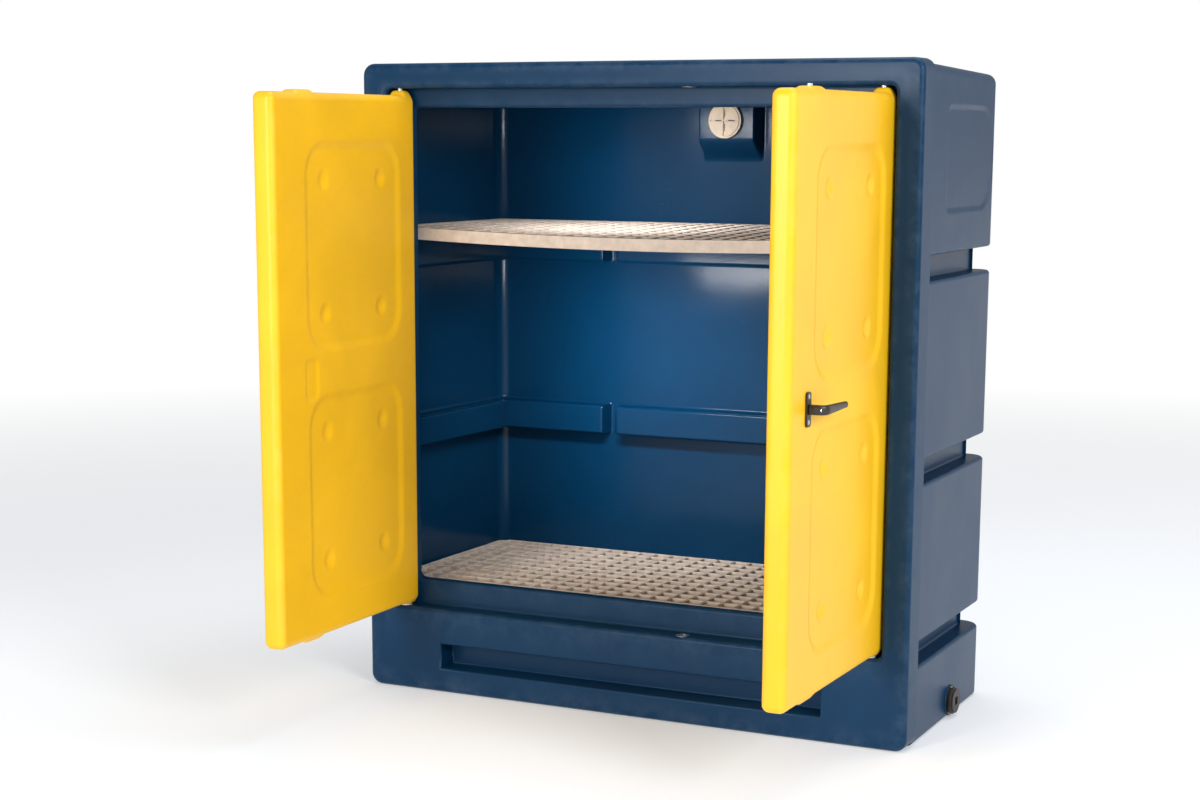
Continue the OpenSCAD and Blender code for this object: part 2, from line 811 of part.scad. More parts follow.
module lever_spindle() {
  color(STEEL) on_leaf(1) at_spindle(-door_t / 2 - cam_y) difference() {
    cylinder(d = spindle_d, h = door_t / 2 + cam_y + lever_out - lever_t);
    translate([0, 0, -eps]) cylinder(r = screw_r, h = cam_screw_l - cam_t + eps);
  }
}

// Cam with two pins that work in the bolts' slots
module lock_cam() {
  color(STEEL) on_leaf(1) {
    at_spindle(-door_t / 2 - cam_y - cam_t) difference() {
      cylinder(r = cam_r, h = cam_t);
      translate([0, 0, -eps]) cylinder(r = screw_r, h = cam_t + 2 * eps);
    }
    for (k = [-1, 1])
      at_spindle(-door_t / 2 - cam_y - cam_t) translate([k * cam_pin_rest, -k * cam_pin_rest, 0])
        cylinder(d = cam_pin_d, h = cam_t + cam_y + plate_t / 2 + 1);
  }
}

module cam_screw() {
  color(STEEL) on_leaf(1) {
    at_spindle(-door_t / 2 - cam_y - cam_t - 3) cylinder(r = screw_head_r, h = 3);
    at_spindle(-door_t / 2 - cam_y - cam_t - eps) cylinder(r = screw_r, h = cam_screw_l + eps);
  }
}

// Slotted plate of a bolt. dir is 1 for the upper bolt and -1 for the lower one; the upper
// plate works on the pin at the free edge's side and crosses over the spindle to its rod.
module bolt_plate(dir) {
  pin_side = dir;
  far_x = pin_side * (slot_out + 5);
  near_x = pin_side * (slot_in - 3);
  rod_edge = rod_x - lock_x - bolt_d / 2 - 1;
  bar_z = cam_pin_rest + plate_half + 3;
  translate([lock_x, 0, spindle_z]) rotate([90, 0, 0]) linear_extrude(plate_t, center = true) {
    translate([0, -dir * cam_pin_rest]) difference() {
      translate([min(near_x, far_x), -plate_half]) square([abs(far_x - near_x), 2 * plate_half]);
      translate([min(pin_side * slot_in, pin_side * slot_out), -slot_h / 2])
        square([slot_out - slot_in, slot_h]);
    }
    if (dir > 0) {
      translate([far_x - 5, -cam_pin_rest]) square([5, cam_pin_rest + bar_z + 10]);
      translate([rod_edge, bar_z]) square([far_x - rod_edge, 10]);
    } else {
      translate([rod_edge, cam_pin_rest - plate_half]) square([abs(rod_edge) - slot_out, 2 * plate_half]);
    }
  }
}

module top_shoot_bolt() {
  rod_from = spindle_z + cam_pin_rest + plate_half + 5;
  color(STEEL) on_leaf(1) {
    bolt_plate(1);
    translate([rod_x, 0, rod_from]) cylinder(d = bolt_d, h = leaf_top + boss_h + bolt_tip - rod_from);
  }
}

module bottom_shoot_bolt() {
  rod_to = spindle_z + cam_pin_rest - plate_half + 4;
  rod_end = leaf_bottom - boss_h - min(bolt_tip, gap_bottom - boss_h - keeper_flange_h - 1);
  color(STEEL) on_leaf(1) {
    bolt_plate(-1);
    translate([rod_x, 0, rod_end]) cylinder(d = bolt_d, h = rod_to - rod_end);
  }
}

module lock_cover() {
  color(BLACK) on_leaf(1) difference() {
    translate([cover_x, door_t / 2 + cover_t, spindle_z]) rotate([90, 0, 0])
      linear_extrude(cover_t) rounded_plate(cover_w, cover_h, 10);
    at_cover_screws() cylinder(r = screw_r, h = 3 * cover_t, center = true);
  }
}

module cover_screws() {
  color(STEEL) on_leaf(1) at_cover_screws() {
    translate([0, 0, -cover_t - 2.5]) cylinder(r = screw_head_r, h = 2.5);
    translate([0, 0, -cover_t]) cylinder(r = screw_r, h = cover_t + 5);
  }
}

body_shell();
body_base();
body_collar();
body_plinth();
upper_shelf();
floor_grating();
vent_grille();
vent_tube();
vent_nut();
vent_louvre();
drain_bush();
drain_seal();
drain_plug();
hinge_pins();
hinge_washers();
bolt_keepers();
left_door();
left_door_bushes();
right_door();
right_door_bushes();
bolt_guides();
spindle_bush();
handle_backplate();
backplate_screws();
lever_handle();
lever_spindle();
lock_cam();
cam_screw();
top_shoot_bolt();
bottom_shoot_bolt();
lock_cover();
cover_screws();
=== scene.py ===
"""Two-door moulded storage cabinet: the visible pieces, their finishes and the studio round them.

Lengths are in metres in the cabinet's own frame: +Z up, doors facing -Y, origin under its middle.
"""

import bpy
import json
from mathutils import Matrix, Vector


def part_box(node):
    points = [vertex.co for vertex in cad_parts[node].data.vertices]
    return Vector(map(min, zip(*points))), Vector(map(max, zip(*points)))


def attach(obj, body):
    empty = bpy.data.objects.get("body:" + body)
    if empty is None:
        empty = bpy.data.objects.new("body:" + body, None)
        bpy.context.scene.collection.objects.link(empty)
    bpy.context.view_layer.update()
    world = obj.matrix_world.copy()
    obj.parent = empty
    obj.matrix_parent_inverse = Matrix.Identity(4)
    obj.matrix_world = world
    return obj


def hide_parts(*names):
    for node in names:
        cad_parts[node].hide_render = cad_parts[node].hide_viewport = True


bl_info = {
    "name": "Moulded storage cabinet",
    "version": (1, 0, 0),
    "blender": (4, 5, 0),
    "location": "View3D > Sidebar > Cabinet",
    "description": "Builds a two-door moulded chemical storage cabinet round its packed frame",
    "category": "Add Mesh",
}

import json
import math

import bpy
import numpy as np
from mathutils import Matrix, Vector

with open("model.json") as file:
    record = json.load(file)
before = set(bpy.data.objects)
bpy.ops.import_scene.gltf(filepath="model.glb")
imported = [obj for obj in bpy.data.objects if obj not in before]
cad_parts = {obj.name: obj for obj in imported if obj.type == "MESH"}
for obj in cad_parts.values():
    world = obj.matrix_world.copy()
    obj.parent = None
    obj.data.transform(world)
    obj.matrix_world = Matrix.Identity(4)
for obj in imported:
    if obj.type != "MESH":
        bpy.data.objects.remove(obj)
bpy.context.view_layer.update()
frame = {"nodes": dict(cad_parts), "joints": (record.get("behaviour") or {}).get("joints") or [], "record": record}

MM = 0.001
JOINTS = {joint["name"]: joint for joint in frame["joints"]}
SLOT_OF = {part["node"]: part["material_slot"] for part in frame["record"]["subparts"]}
COLLAR_LOW, COLLAR_HIGH = (np.array(corner, dtype=float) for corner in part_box("body_collar"))
HALF_W = float(COLLAR_HIGH[0])
HEIGHT = float(COLLAR_HIGH[2])
FRONT_Y = float(COLLAR_LOW[1])
DEPTH = float(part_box("body_shell")[1][1]) - FRONT_Y


def length(label, words, value, low=0.0, high=2.0):
    """A size in metres that a user can change."""
    return bpy.props.FloatProperty(name=label, description=words, default=value, min=low, max=high,
                                   unit="LENGTH", subtype="DISTANCE")


def tint(label, words, value):
    """A colour that a user can change."""
    return bpy.props.FloatVectorProperty(name=label, description=words, default=value, size=3,
                                         min=0.0, max=1.0, subtype="COLOR")


# ---------------------------------------------------------------- sizes and colours

class CabinetShellSizes(bpy.types.PropertyGroup):
    """Sizes of the moulded body."""
    wall: length("Skin", "Thickness of the moulded skin", 7 * MM)
    collar: length("Collar depth", "Depth of the front collar", 65 * MM)
    collar_step: length("Collar step", "How far the collar stands out past the box", 5 * MM)
    draft: length("Draft", "Taper of the sides and top towards the back", 14 * MM)
    rear_r: length("Back corner", "Radius of the upright corners at the back", 42 * MM)
    inner_r: length("Inner corner", "Radius of the upright corners inside", 26 * MM)
    top_r: length("Top edge", "Radius round the top", 20 * MM)
    collar_r: length("Collar corner", "Radius of the collar's corners", 24 * MM)
    stile: length("Stile", "Width of the frame beside each door", 54 * MM)
    rail: length("Rail", "Height of the frame over the doors", 50 * MM)
    sill: length("Sill", "Height of the sill", 178 * MM)
    rebate: length("Rebate", "Depth of the doors' rebate", 42 * MM)
    stop: length("Stop", "Width of the stop behind the doors", 38 * MM)
    step: length("Spill step", "Height of the step above the sill", 53 * MM)
    channel_h: length("Channel height", "Height of each channel", 48 * MM)
    channel_d: length("Channel depth", "Depth of each channel", 38 * MM)
    rib_x: length("Rib place", "Distance of the back's ribs from the middle", 278 * MM)
    rib_w: length("Rib width", "Width of the back's ribs", 43 * MM)
    pocket_w: length("Pocket width", "Width of the plinth's pocket", 850 * MM)
    pocket_h: length("Pocket height", "Height of the plinth's pocket", 52 * MM)
    pocket_z: length("Pocket place", "Height of the pocket's lower edge", 52 * MM)
    pocket_d: length("Pocket depth", "Depth of the pocket", 48 * MM)
    hood_w: length("Hood width", "Width of the hood behind the vent", 136 * MM)
    hood_d: length("Hood depth", "Depth of the hood", 45 * MM)


class CabinetDoorSizes(bpy.types.PropertyGroup):
    """Sizes of the leaves and the lever."""
    thick: length("Thickness", "Thickness of a leaf", 46 * MM)
    width: length("Width", "Width of a leaf", 535 * MM)
    inset: length("Pin inset", "Distance from the pin to the hinge edge", 20 * MM)
    edge_r: length("Edge radius", "Radius of a leaf's edges", 14 * MM)
    boss_h: length("Pad height", "Height of the pads over and under a leaf", 5 * MM)
    panel_w: length("Panel width", "Width of the sunken panels", 346 * MM)
    panel_h: length("Panel height", "Height of a sunken panel", 390 * MM)
    panel_r: length("Panel corner", "Corner radius of the sunken panels", 62 * MM)
    panel_deep: length("Panel depth", "Depth of the sunken panels", 5 * MM)
    panel_x: length("Panel place", "From the hinge edge to the panels' middle", 246 * MM)
    dimple_r: length("Dimple radius", "Radius of a dimple", 20 * MM)
    dimple_deep: length("Dimple depth", "Depth of a dimple", 5.5 * MM)
    lever_out: length("Lever stand-off", "Stand-off of the lever's arm", 33 * MM)
    lever_len: length("Lever reach", "Reach of the lever from its spindle", 102 * MM)
    left_open: bpy.props.FloatProperty(
        name="Left angle", description="Angle at which the left leaf stands open",
        default=math.radians(88), unit="ROTATION")
    right_open: bpy.props.FloatProperty(
        name="Right angle", description="Angle at which the right leaf stands open",
        default=math.radians(91), unit="ROTATION")


class CabinetGratingSizes(bpy.types.PropertyGroup):
    """Sizes of the moulded gratings."""
    pitch: length("Mesh pitch", "Pitch of the square mesh", 38 * MM)
    bar: length("Bar", "Width of a bar at its top", 7 * MM)
    clip: length("Clipped corner", "Size of the clipped back corners", 20 * MM)
    sag: length("Shelf sag", "How far the shelf's front edge bows down", 14 * MM)


class CabinetColours(bpy.types.PropertyGroup):
    """Colours of the finishes."""
    shell: tint("Body", "Colour of the body", (0.0015, 0.031, 0.083))
    door: tint("Doors", "Colour of the doors", (0.93, 0.52, 0.010))
    grating: tint("Gratings", "Colour of the gratings", (0.60, 0.51, 0.44))
    vent: tint("Vent", "Colour of the vent", (0.62, 0.50, 0.38))
    dark: tint("Lever and plug", "Colour of the lever and the drain plug", (0.022, 0.016, 0.013))
    nylon: tint("Bushes", "Colour of the bushes", (0.75, 0.74, 0.70))
    steel: tint("Steel", "Colour of the pins and bolts", (0.62, 0.63, 0.64))
    brass: tint("Brass", "Colour of the drain's bush", (0.60, 0.44, 0.19))
    floor: tint("Floor", "Colour of the studio floor", (0.80, 0.83, 0.87))


# ---------------------------------------------------------------- shape helpers

def smooth(t):
    """Soft step: 0 below 0, 1 above 1, and 3t^2 - 2t^3 between."""
    t = np.clip(t, 0.0, 1.0)
    return t * t * (3.0 - 2.0 * t)


def window(x, centre, half, soft):
    """1 within half of centre and 0 past it, with soft edges of width soft centred on the edge."""
    return smooth((half + soft / 2 - np.abs(x - centre)) / soft)


def arc(centre, radius, start, stop, count):
    """Points on a circle's arc: centre + radius (cos a, sin a), a evenly from start to stop degrees."""
    a = np.radians(np.linspace(start, stop, count))
    return np.stack([centre[0] + radius * np.cos(a), centre[1] + radius * np.sin(a)], axis=1)


def box_distance(x, z, half_x, half_z, radius):
    """Signed distance to a rounded rectangle's edge, negative inside: the usual corner formula."""
    qx = np.abs(x) - half_x + radius
    qz = np.abs(z) - half_z + radius
    outside = np.hypot(np.maximum(qx, 0), np.maximum(qz, 0))
    return outside + np.minimum(np.maximum(qx, qz), 0) - radius


def spread(stops, step):
    """Sorted places that include every stop and leave no gap wider than step."""
    stops = np.unique(np.round(stops, 6))
    runs = [np.linspace(a, b, max(2, math.ceil((b - a) / step) + 1))[:-1] for a, b in zip(stops, stops[1:])]
    return np.concatenate(runs + [stops[-1:]])


def grid_faces(rows, cols, start=0, close=False, flip=False):
    """Quads between neighbouring rows and columns of a grid stored row by row."""
    r = np.arange(rows - 1)[:, None]
    c = np.arange(cols if close else cols - 1)[None, :]
    n = (c + 1) % cols
    quads = np.stack([r * cols + c, r * cols + n, (r + 1) * cols + n, (r + 1) * cols + c], axis=-1)
    quads = quads.reshape(-1, 4) + start
    return quads[:, ::-1] if flip else quads


class Shape:
    """Collects grids of points and their faces, and turns them into one mesh object."""

    def __init__(self):
        self.points, self.faces, self.marks, self.inner, self.count = [], [], [], [], 0

    def add(self, points, faces, mark=None, inside=0.0):
        points = np.asarray(points, dtype=float).reshape(-1, 3)
        self.points.append(points)
        self.inner.append(np.full(len(points), inside))
        self.faces.append(np.asarray(faces).reshape(-1, 4) + self.count)
        self.marks.append(np.zeros(len(points)) if mark is None else np.asarray(mark, dtype=float).ravel())
        self.count += len(points)

    def grid(self, points, close=False, flip=False, mark=None, inside=0.0):
        """Adds a rows x cols x 3 array as a surface."""
        rows, cols = points.shape[:2]
        self.add(points, grid_faces(rows, cols, 0, close, flip), mark, inside)

    def build(self, name, body, slot, weld=2e-6, angle=None):
        """Makes the mesh object, welds coincident points and drops faces that have closed up."""
        points = np.concatenate(self.points)
        quads = np.concatenate(self.faces)
        # The edge mark is painted lighter by the material, as rubbed wear and as a painted highlight.
        marks = {"edge_wear_and_highlight": np.concatenate(self.marks), "inside": np.concatenate(self.inner)}
        keys = np.round(points / weld).astype(np.int64)
        _, first, where = np.unique(keys, axis=0, return_index=True, return_inverse=True)
        where = where.ravel()
        quads = where[quads]
        faces = []
        same = (quads == np.roll(quads, -1, axis=1))
        whole = quads[~same.any(axis=1)]
        faces.extend(whole[(whole[:, 0] != whole[:, 2]) & (whole[:, 1] != whole[:, 3])].tolist())
        for quad, gone in zip(quads[same.any(axis=1)], same[same.any(axis=1)]):
            kept = quad[~gone]
            if len(kept) == 3 and len(set(kept.tolist())) == 3:
                faces.append(kept.tolist())
        mesh = bpy.data.meshes.new(name)
        mesh.from_pydata(points[first], [], faces)
        for label, values in marks.items():
            layer = mesh.attributes.new(label, "FLOAT", "POINT")
            layer.data.foreach_set("value", values[first].astype(np.float32))
        mesh.validate()
        mesh.shade_smooth()
        piece = bpy.data.objects.new(name, mesh)
        bpy.context.scene.collection.objects.link(piece)
        if angle is not None:
            mesh.set_sharp_from_angle(angle=math.radians(angle))
        finish = piece.modifiers.new("weighted", "WEIGHTED_NORMAL")
        finish.keep_sharp = True
        finish.weight = 80
        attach(piece, body)
        piece.data.materials.append(FINISHES[slot])
        return piece


# ---------------------------------------------------------------- finishes

FINISHES = {}


def socket(tree, name, kind, way):
    """Adds a socket to a node group's interface."""
    return tree.interface.new_socket(name=name, in_out=way, socket_type=kind)


def put(tree, kind, x=0, y=0, **settings):
    """Adds a node, setting its properties and, by name, its inputs."""
    node = tree.nodes.new(kind)
    node.location = (x, y)
    for name, value in settings.items():
        if hasattr(node, name):
            setattr(node, name, value)
        else:
            node.inputs[name.replace("_", " ")].default_value = value
    return node


def maths(tree, operation, a, b=None, c=None, x=0, y=0):
    """A Math node whose inputs are numbers or sockets; returns its result."""
    node = put(tree, "ShaderNodeMath", x, y, operation=operation)
    for slot, value in zip(node.inputs, (a, b, c)):
        if value is None:
            continue
        if isinstance(value, (int, float)):
            slot.default_value = value
        else:
            tree.links.new(value, slot)
    return node.outputs[0]


def noise(tree, coords, scale, detail=2.0, rough=0.5, x=0, y=0, distort=0.0):
    """A noise texture on the given coordinates; returns its factor."""
    node = put(tree, "ShaderNodeTexNoise", x, y)
    node.inputs["Scale"].default_value = scale
    node.inputs["Detail"].default_value = detail
    node.inputs["Roughness"].default_value = rough
    node.inputs["Distortion"].default_value = distort
    tree.links.new(coords, node.inputs["Vector"])
    return node.outputs["Fac"]


def band(tree, value, low, high, x=0, y=0):
    """Maps value from low..high onto 0..1 and clamps it."""
    node = put(tree, "ShaderNodeMapRange", x, y)
    node.inputs["From Min"].default_value = low
    node.inputs["From Max"].default_value = high
    tree.links.new(value, node.inputs["Value"])
    return node.outputs["Result"]


def stretch(tree, coords, scale, turn=(0, 0, 0), x=0, y=0):
    """Scales and turns coordinates, for streaks that run one way."""
    node = put(tree, "ShaderNodeMapping", x, y)
    node.inputs["Scale"].default_value = scale
    node.inputs["Rotation"].default_value = turn
    tree.links.new(coords, node.inputs["Vector"])
    return node.outputs["Vector"]


def new_group(name):
    """An empty shader group with a Vector input, and its input and output nodes."""
    tree = bpy.data.node_groups.new(name, "ShaderNodeTree")
    socket(tree, "Vector", "NodeSocketVector", "INPUT")
    return tree, put(tree, "NodeGroupInput", -900, 0), put(tree, "NodeGroupOutput", 600, 0)


def moulded_skin_group():
    """Rotomoulded skin: fine orange peel, slow waves from uneven cooling and a cloudy tone."""
    tree, start, end = new_group("moulded_skin")
    socket(tree, "Height", "NodeSocketFloat", "OUTPUT")
    socket(tree, "Cloud", "NodeSocketFloat", "OUTPUT")
    coords = start.outputs["Vector"]
    peel = noise(tree, coords, 420.0, 3.0, 0.55, -600, 200)
    pebble = noise(tree, coords, 120.0, 2.0, 0.5, -600, 0)
    wave = noise(tree, coords, 7.0, 2.0, 0.4, -600, -200)
    cloud = noise(tree, coords, 3.2, 4.0, 0.55, -600, -400, 0.6)
    fine = maths(tree, "MULTIPLY_ADD", peel, 0.05, maths(tree, "MULTIPLY", pebble, 0.10, x=-400), x=-200)
    tree.links.new(maths(tree, "ADD", fine, wave, x=0), end.inputs["Height"])
    tree.links.new(band(tree, cloud, 0.3, 0.7, 0, -300), end.inputs["Cloud"])
    return tree


def scuff_group():
    """Handling marks: thin streaks in two directions and scattered rubbed spots."""
    tree, start, end = new_group("handling_scuffs")
    socket(tree, "Mask", "NodeSocketFloat", "OUTPUT")
    coords = start.outputs["Vector"]
    flat = stretch(tree, coords, (9, 9, 150), (0.5, 0.3, 0.2), -700, 300)
    one = noise(tree, flat, 4.0, 2.0, 0.6, -500, 300)
    upright = stretch(tree, coords, (140, 120, 8), (0.9, -0.4, 0.6), -700, 0)
    two = noise(tree, upright, 3.0, 2.0, 0.6, -500, 0)
    where = band(tree, noise(tree, coords, 4.0, 3.0, 0.6, -500, -300), 0.52, 0.70, -300, -300)
    streaks = maths(tree, "MAXIMUM", band(tree, one, 0.66, 0.74, -300, 300),
                    band(tree, two, 0.67, 0.75, -300, 0))
    tree.links.new(maths(tree, "MULTIPLY", streaks, where, x=100), end.inputs["Mask"])
    return tree


def grit_group():
    """Gritty resin: coarse speckle with a few dark chips."""
    tree, start, end = new_group("resin_grit")
    socket(tree, "Height", "NodeSocketFloat", "OUTPUT")
    socket(tree, "Speckle", "NodeSocketFloat", "OUTPUT")
    coords = start.outputs["Vector"]
    grain = noise(tree, coords, 900.0, 2.0, 0.7, -600, 200)
    patch = noise(tree, coords, 45.0, 3.0, 0.6, -600, -100)
    tree.links.new(maths(tree, "MULTIPLY_ADD", grain, 0.6, patch), end.inputs["Height"])
    tree.links.new(band(tree, patch, 0.35, 0.7, -300, -100), end.inputs["Speckle"])
    return tree


def new_finish(name):
    """A material with a Principled shader; returns the material, its tree, shader and coordinates."""
    material = bpy.data.materials.new(name)
    material.use_nodes = True
    tree = material.node_tree
    shader = tree.nodes["Principled BSDF"]
    shader.location = (600, 0)
    tree.nodes["Material Output"].location = (900, 0)
    coords = put(tree, "ShaderNodeTexCoord", -1000, 0).outputs["Object"]
    return material, tree, shader, coords


def use_group(tree, group, coords, x=-700, y=0):
    """Places a shared group and feeds it coordinates."""
    node = put(tree, "ShaderNodeGroup", x, y)
    node.node_tree = group
    tree.links.new(coords, node.inputs["Vector"])
    return node


def blend_colours(tree, factor, a, b, x=0, y=0):
    """A colour that goes from a to b with factor; a and b are colours or sockets."""
    node = put(tree, "ShaderNodeMix", x, y, data_type="RGBA")
    for slot, value in ((node.inputs[6], a), (node.inputs[7], b)):
        if isinstance(value, tuple):
            slot.default_value = (*value, 1.0) if len(value) == 3 else value
        else:
            tree.links.new(value, slot)
    tree.links.new(factor, node.inputs[0])
    return node.outputs[2]


def shade(colour, gain):
    """The colour made lighter or darker."""
    return tuple(min(1.0, c * gain) for c in colour)


def bump(tree, shader, height, strength, distance, x=300, y=-300):
    """Feeds a height into the shader's normal."""
    node = put(tree, "ShaderNodeBump", x, y)
    node.inputs["Strength"].default_value = strength
    node.inputs["Distance"].default_value = distance
    tree.links.new(height, node.inputs["Height"])
    tree.links.new(node.outputs["Normal"], shader.inputs["Normal"])


def polyethylene(name, colour, worn_and_lit_colour, groups, gloss, waves, scuffing, specular):
    """Moulded polyethylene: cloudy colour, orange peel, lighter rounded edges that are partly rubbed wear and
    partly a painted highlight, light scuffs, shinier inside.
    """
    material, tree, shader, coords = new_finish(name)
    skin = use_group(tree, groups["skin"], coords, y=200)
    scuffs = use_group(tree, groups["scuffs"], coords, y=-100)
    # Marked edges go towards the lighter colour: part rubbed wear, part painted highlight on the rounded edges.
    edge = put(tree, "ShaderNodeAttribute", -700, -300, attribute_name="edge_wear_and_highlight").outputs["Fac"]
    patch = band(tree, noise(tree, coords, 22.0, 4.0, 0.7, -700, -500), 0.42, 0.68, -500, -500)
    rubbed_and_lit_edge = maths(tree, "MULTIPLY", edge, patch, x=-300, y=-400)
    scuffed = maths(tree, "MULTIPLY", scuffs.outputs["Mask"], scuffing)
    marks = maths(tree, "MAXIMUM", scuffed, rubbed_and_lit_edge, x=-100, y=-300)
    base = blend_colours(tree, skin.outputs["Cloud"], shade(colour, 0.92), shade(colour, 1.08), -200, 300)
    marked = blend_colours(tree, maths(tree, "MULTIPLY", marks, 0.14), base, worn_and_lit_colour, 100, 300)
    tree.links.new(marked, shader.inputs["Base Color"])
    inside = put(tree, "ShaderNodeAttribute", -300, -100, attribute_name="inside").outputs["Fac"]
    shine = maths(tree, "MULTIPLY_ADD", inside, -0.16, gloss, x=-100, y=0)
    rough = maths(tree, "MULTIPLY_ADD", skin.outputs["Cloud"], 0.06, shine, x=100, y=0)
    tree.links.new(maths(tree, "MULTIPLY_ADD", marks, 0.18, rough, x=300), shader.inputs["Roughness"])
    shader.inputs["IOR"].default_value = 1.5
    shader.inputs["Specular IOR Level"].default_value = specular
    bump(tree, shader, skin.outputs["Height"], 1.0, waves)
    return material


def speckled_plastic(name, colour, groups, gloss, tones, roughen, relief, depth):
    """Moulded plastic or resin: speckled tone and roughness, and a gritty surface."""
    material, tree, shader, coords = new_finish(name)
    grit = use_group(tree, groups["grit"], coords, y=100)
    dark, light = (shade(colour, gain) for gain in tones)
    tone = blend_colours(tree, grit.outputs["Speckle"], dark, light, 100, 200)
    tree.links.new(tone, shader.inputs["Base Color"])
    tree.links.new(maths(tree, "MULTIPLY_ADD", grit.outputs["Speckle"], roughen, gloss, x=100),
                   shader.inputs["Roughness"])
    bump(tree, shader, grit.outputs["Height"], relief, depth)
    return material


def resin(name, colour, groups):
    """Moulded grating resin: sandy, and darker in its hollows."""
    return speckled_plastic(name, colour, groups, 0.55, (0.86, 1.1), 0.15, 0.6, 0.35 * MM)


def plain_plastic(name, colour, groups, gloss):
    """Injection-moulded plastic: slight tone drift and a fine spark texture."""
    return speckled_plastic(name, colour, groups, gloss, (0.9, 1.15), 0.1, 0.25, 0.1 * MM)


def turned_metal(name, colour, groups, gloss):
    """Drawn or turned metal: fine streaks along Z and a light stain."""
    material, tree, shader, coords = new_finish(name)
    drawn = stretch(tree, coords, (700, 700, 12), x=-800, y=-200)
    streak = noise(tree, drawn, 1.0, 2.0, 0.5, -600, -200)
    scuffs = use_group(tree, groups["scuffs"], coords, y=100)
    tree.links.new(blend_colours(tree, streak, shade(colour, 0.85), shade(colour, 1.12), 100, 200),
                   shader.inputs["Base Color"])
    shader.inputs["Metallic"].default_value = 1.0
    rough = maths(tree, "MULTIPLY_ADD", streak, 0.15, gloss, x=100)
    tree.links.new(maths(tree, "MULTIPLY_ADD", scuffs.outputs["Mask"], 0.2, rough, x=300),
                   shader.inputs["Roughness"])
    bump(tree, shader, streak, 0.2, 0.05 * MM)
    return material


# ---------------------------------------------------------------- the body

def plan_path(inset, corner_r, places, sizes):
    """The box's outline seen from above, from the right front round the back to the left front.

    The sides run straight and draw in by the draft, the back corners are quarter circles, and each
    point comes with its outward normal.
    """
    front = HALF_W - sizes.collar_step
    straight = DEPTH - sizes.rear_r
    y = places["side"]
    slope = sizes.draft / straight
    side = np.stack([front - slope * y, y], axis=1)
    side_n = np.tile(np.array([1.0, slope]) / math.hypot(1.0, slope), (len(y), 1))
    rear_x = front - sizes.draft
    centre = np.array([rear_x - inset - corner_r, DEPTH - inset - corner_r])
    turn = np.radians(np.linspace(0, 90, 13))[1:-1]
    bend_n = np.stack([np.cos(turn), np.sin(turn)], axis=1)
    bend = centre + corner_r * bend_n
    back_x = places["back"][::-1]
    back = np.stack([back_x, np.full(len(back_x), DEPTH - inset)], axis=1)
    back_n = np.tile([0.0, 1.0], (len(back_x), 1))
    side = side - inset * side_n
    flip = np.array([-1.0, 1.0])
    points = np.concatenate([side, bend, back, bend[::-1] * flip, side[::-1] * flip])
    normals = np.concatenate([side_n, bend_n, back_n, bend_n[::-1] * flip, side_n[::-1] * flip])
    return points, normals


def channel_rows(low, high, deep, lip, root):
    """A channel's section as (depth, height) points: rounded lips, a flat floor and rounded roots."""
    return np.concatenate([
        arc((lip, low - lip), lip, 180, 90, 6),
        arc((deep - root, low + root), root, -90, 0, 5),
        arc((deep - root, high - root), root, 0, 90, 5),
        arc((lip, high + lip), lip, -90, -180, 6)])


def wall_rows(inset, floors, sizes):
    """The wall's section from its foot to the foot of the top edge, as (depth, height) points."""
    rows = [np.array([[0.0, 30 * MM], [0.0, 80 * MM]])]
    ends = []
    for low in floors:
        rows.append(channel_rows(low - inset, low + sizes.channel_h + inset, sizes.channel_d, 7 * MM, 5 * MM))
        ends.append(low + sizes.channel_h)
    plain = [np.array([[0.0, z] for z in np.linspace(a + 30 * MM, b - 30 * MM, 6)])
             for a, b in zip(ends, floors[1:])]
    panel = np.stack([np.zeros(56), np.linspace(1005 * MM, 1232 * MM, 56)], axis=1)
    foot = np.array([[0.0, ends[-1] + 25 * MM], [0.0, ends[-1] + 45 * MM]])
    ordered = [rows[0], rows[1], plain[0], rows[2], plain[1], rows[3], foot, panel]
    return np.concatenate(ordered)


def side_panel_depth(y, z):
    """The sunken panel on each side: round at the back, nearly square at the front."""
    middle_y, half_y = 346 * MM, 164 * MM
    middle_z, half_z = 1116 * MM, 98 * MM
    radius = np.where(y > middle_y, half_z - 4 * MM, 16 * MM)
    inside = -box_distance(y - middle_y, z - middle_z, half_y, half_z, radius)
    return 2.2 * MM * smooth(inside / (5 * MM) + 0.5)


def hood_depth(x, z, half, sizes):
    """The hood behind the vent: a sloping underside, a flat face and rounded sides."""
    foot_z, climb, top_z, top_soft = 1106 * MM, 42 * MM, 1248 * MM, 12 * MM
    risen = (z - foot_z) / climb
    rise = smooth(risen) * 0.25 + np.clip(risen, 0, 1) * 0.75
    top = 1.0 - smooth((z - top_z) / top_soft)
    return sizes.hood_d * rise * top * window(x, 0.0, half - 2 * MM, 7 * MM)


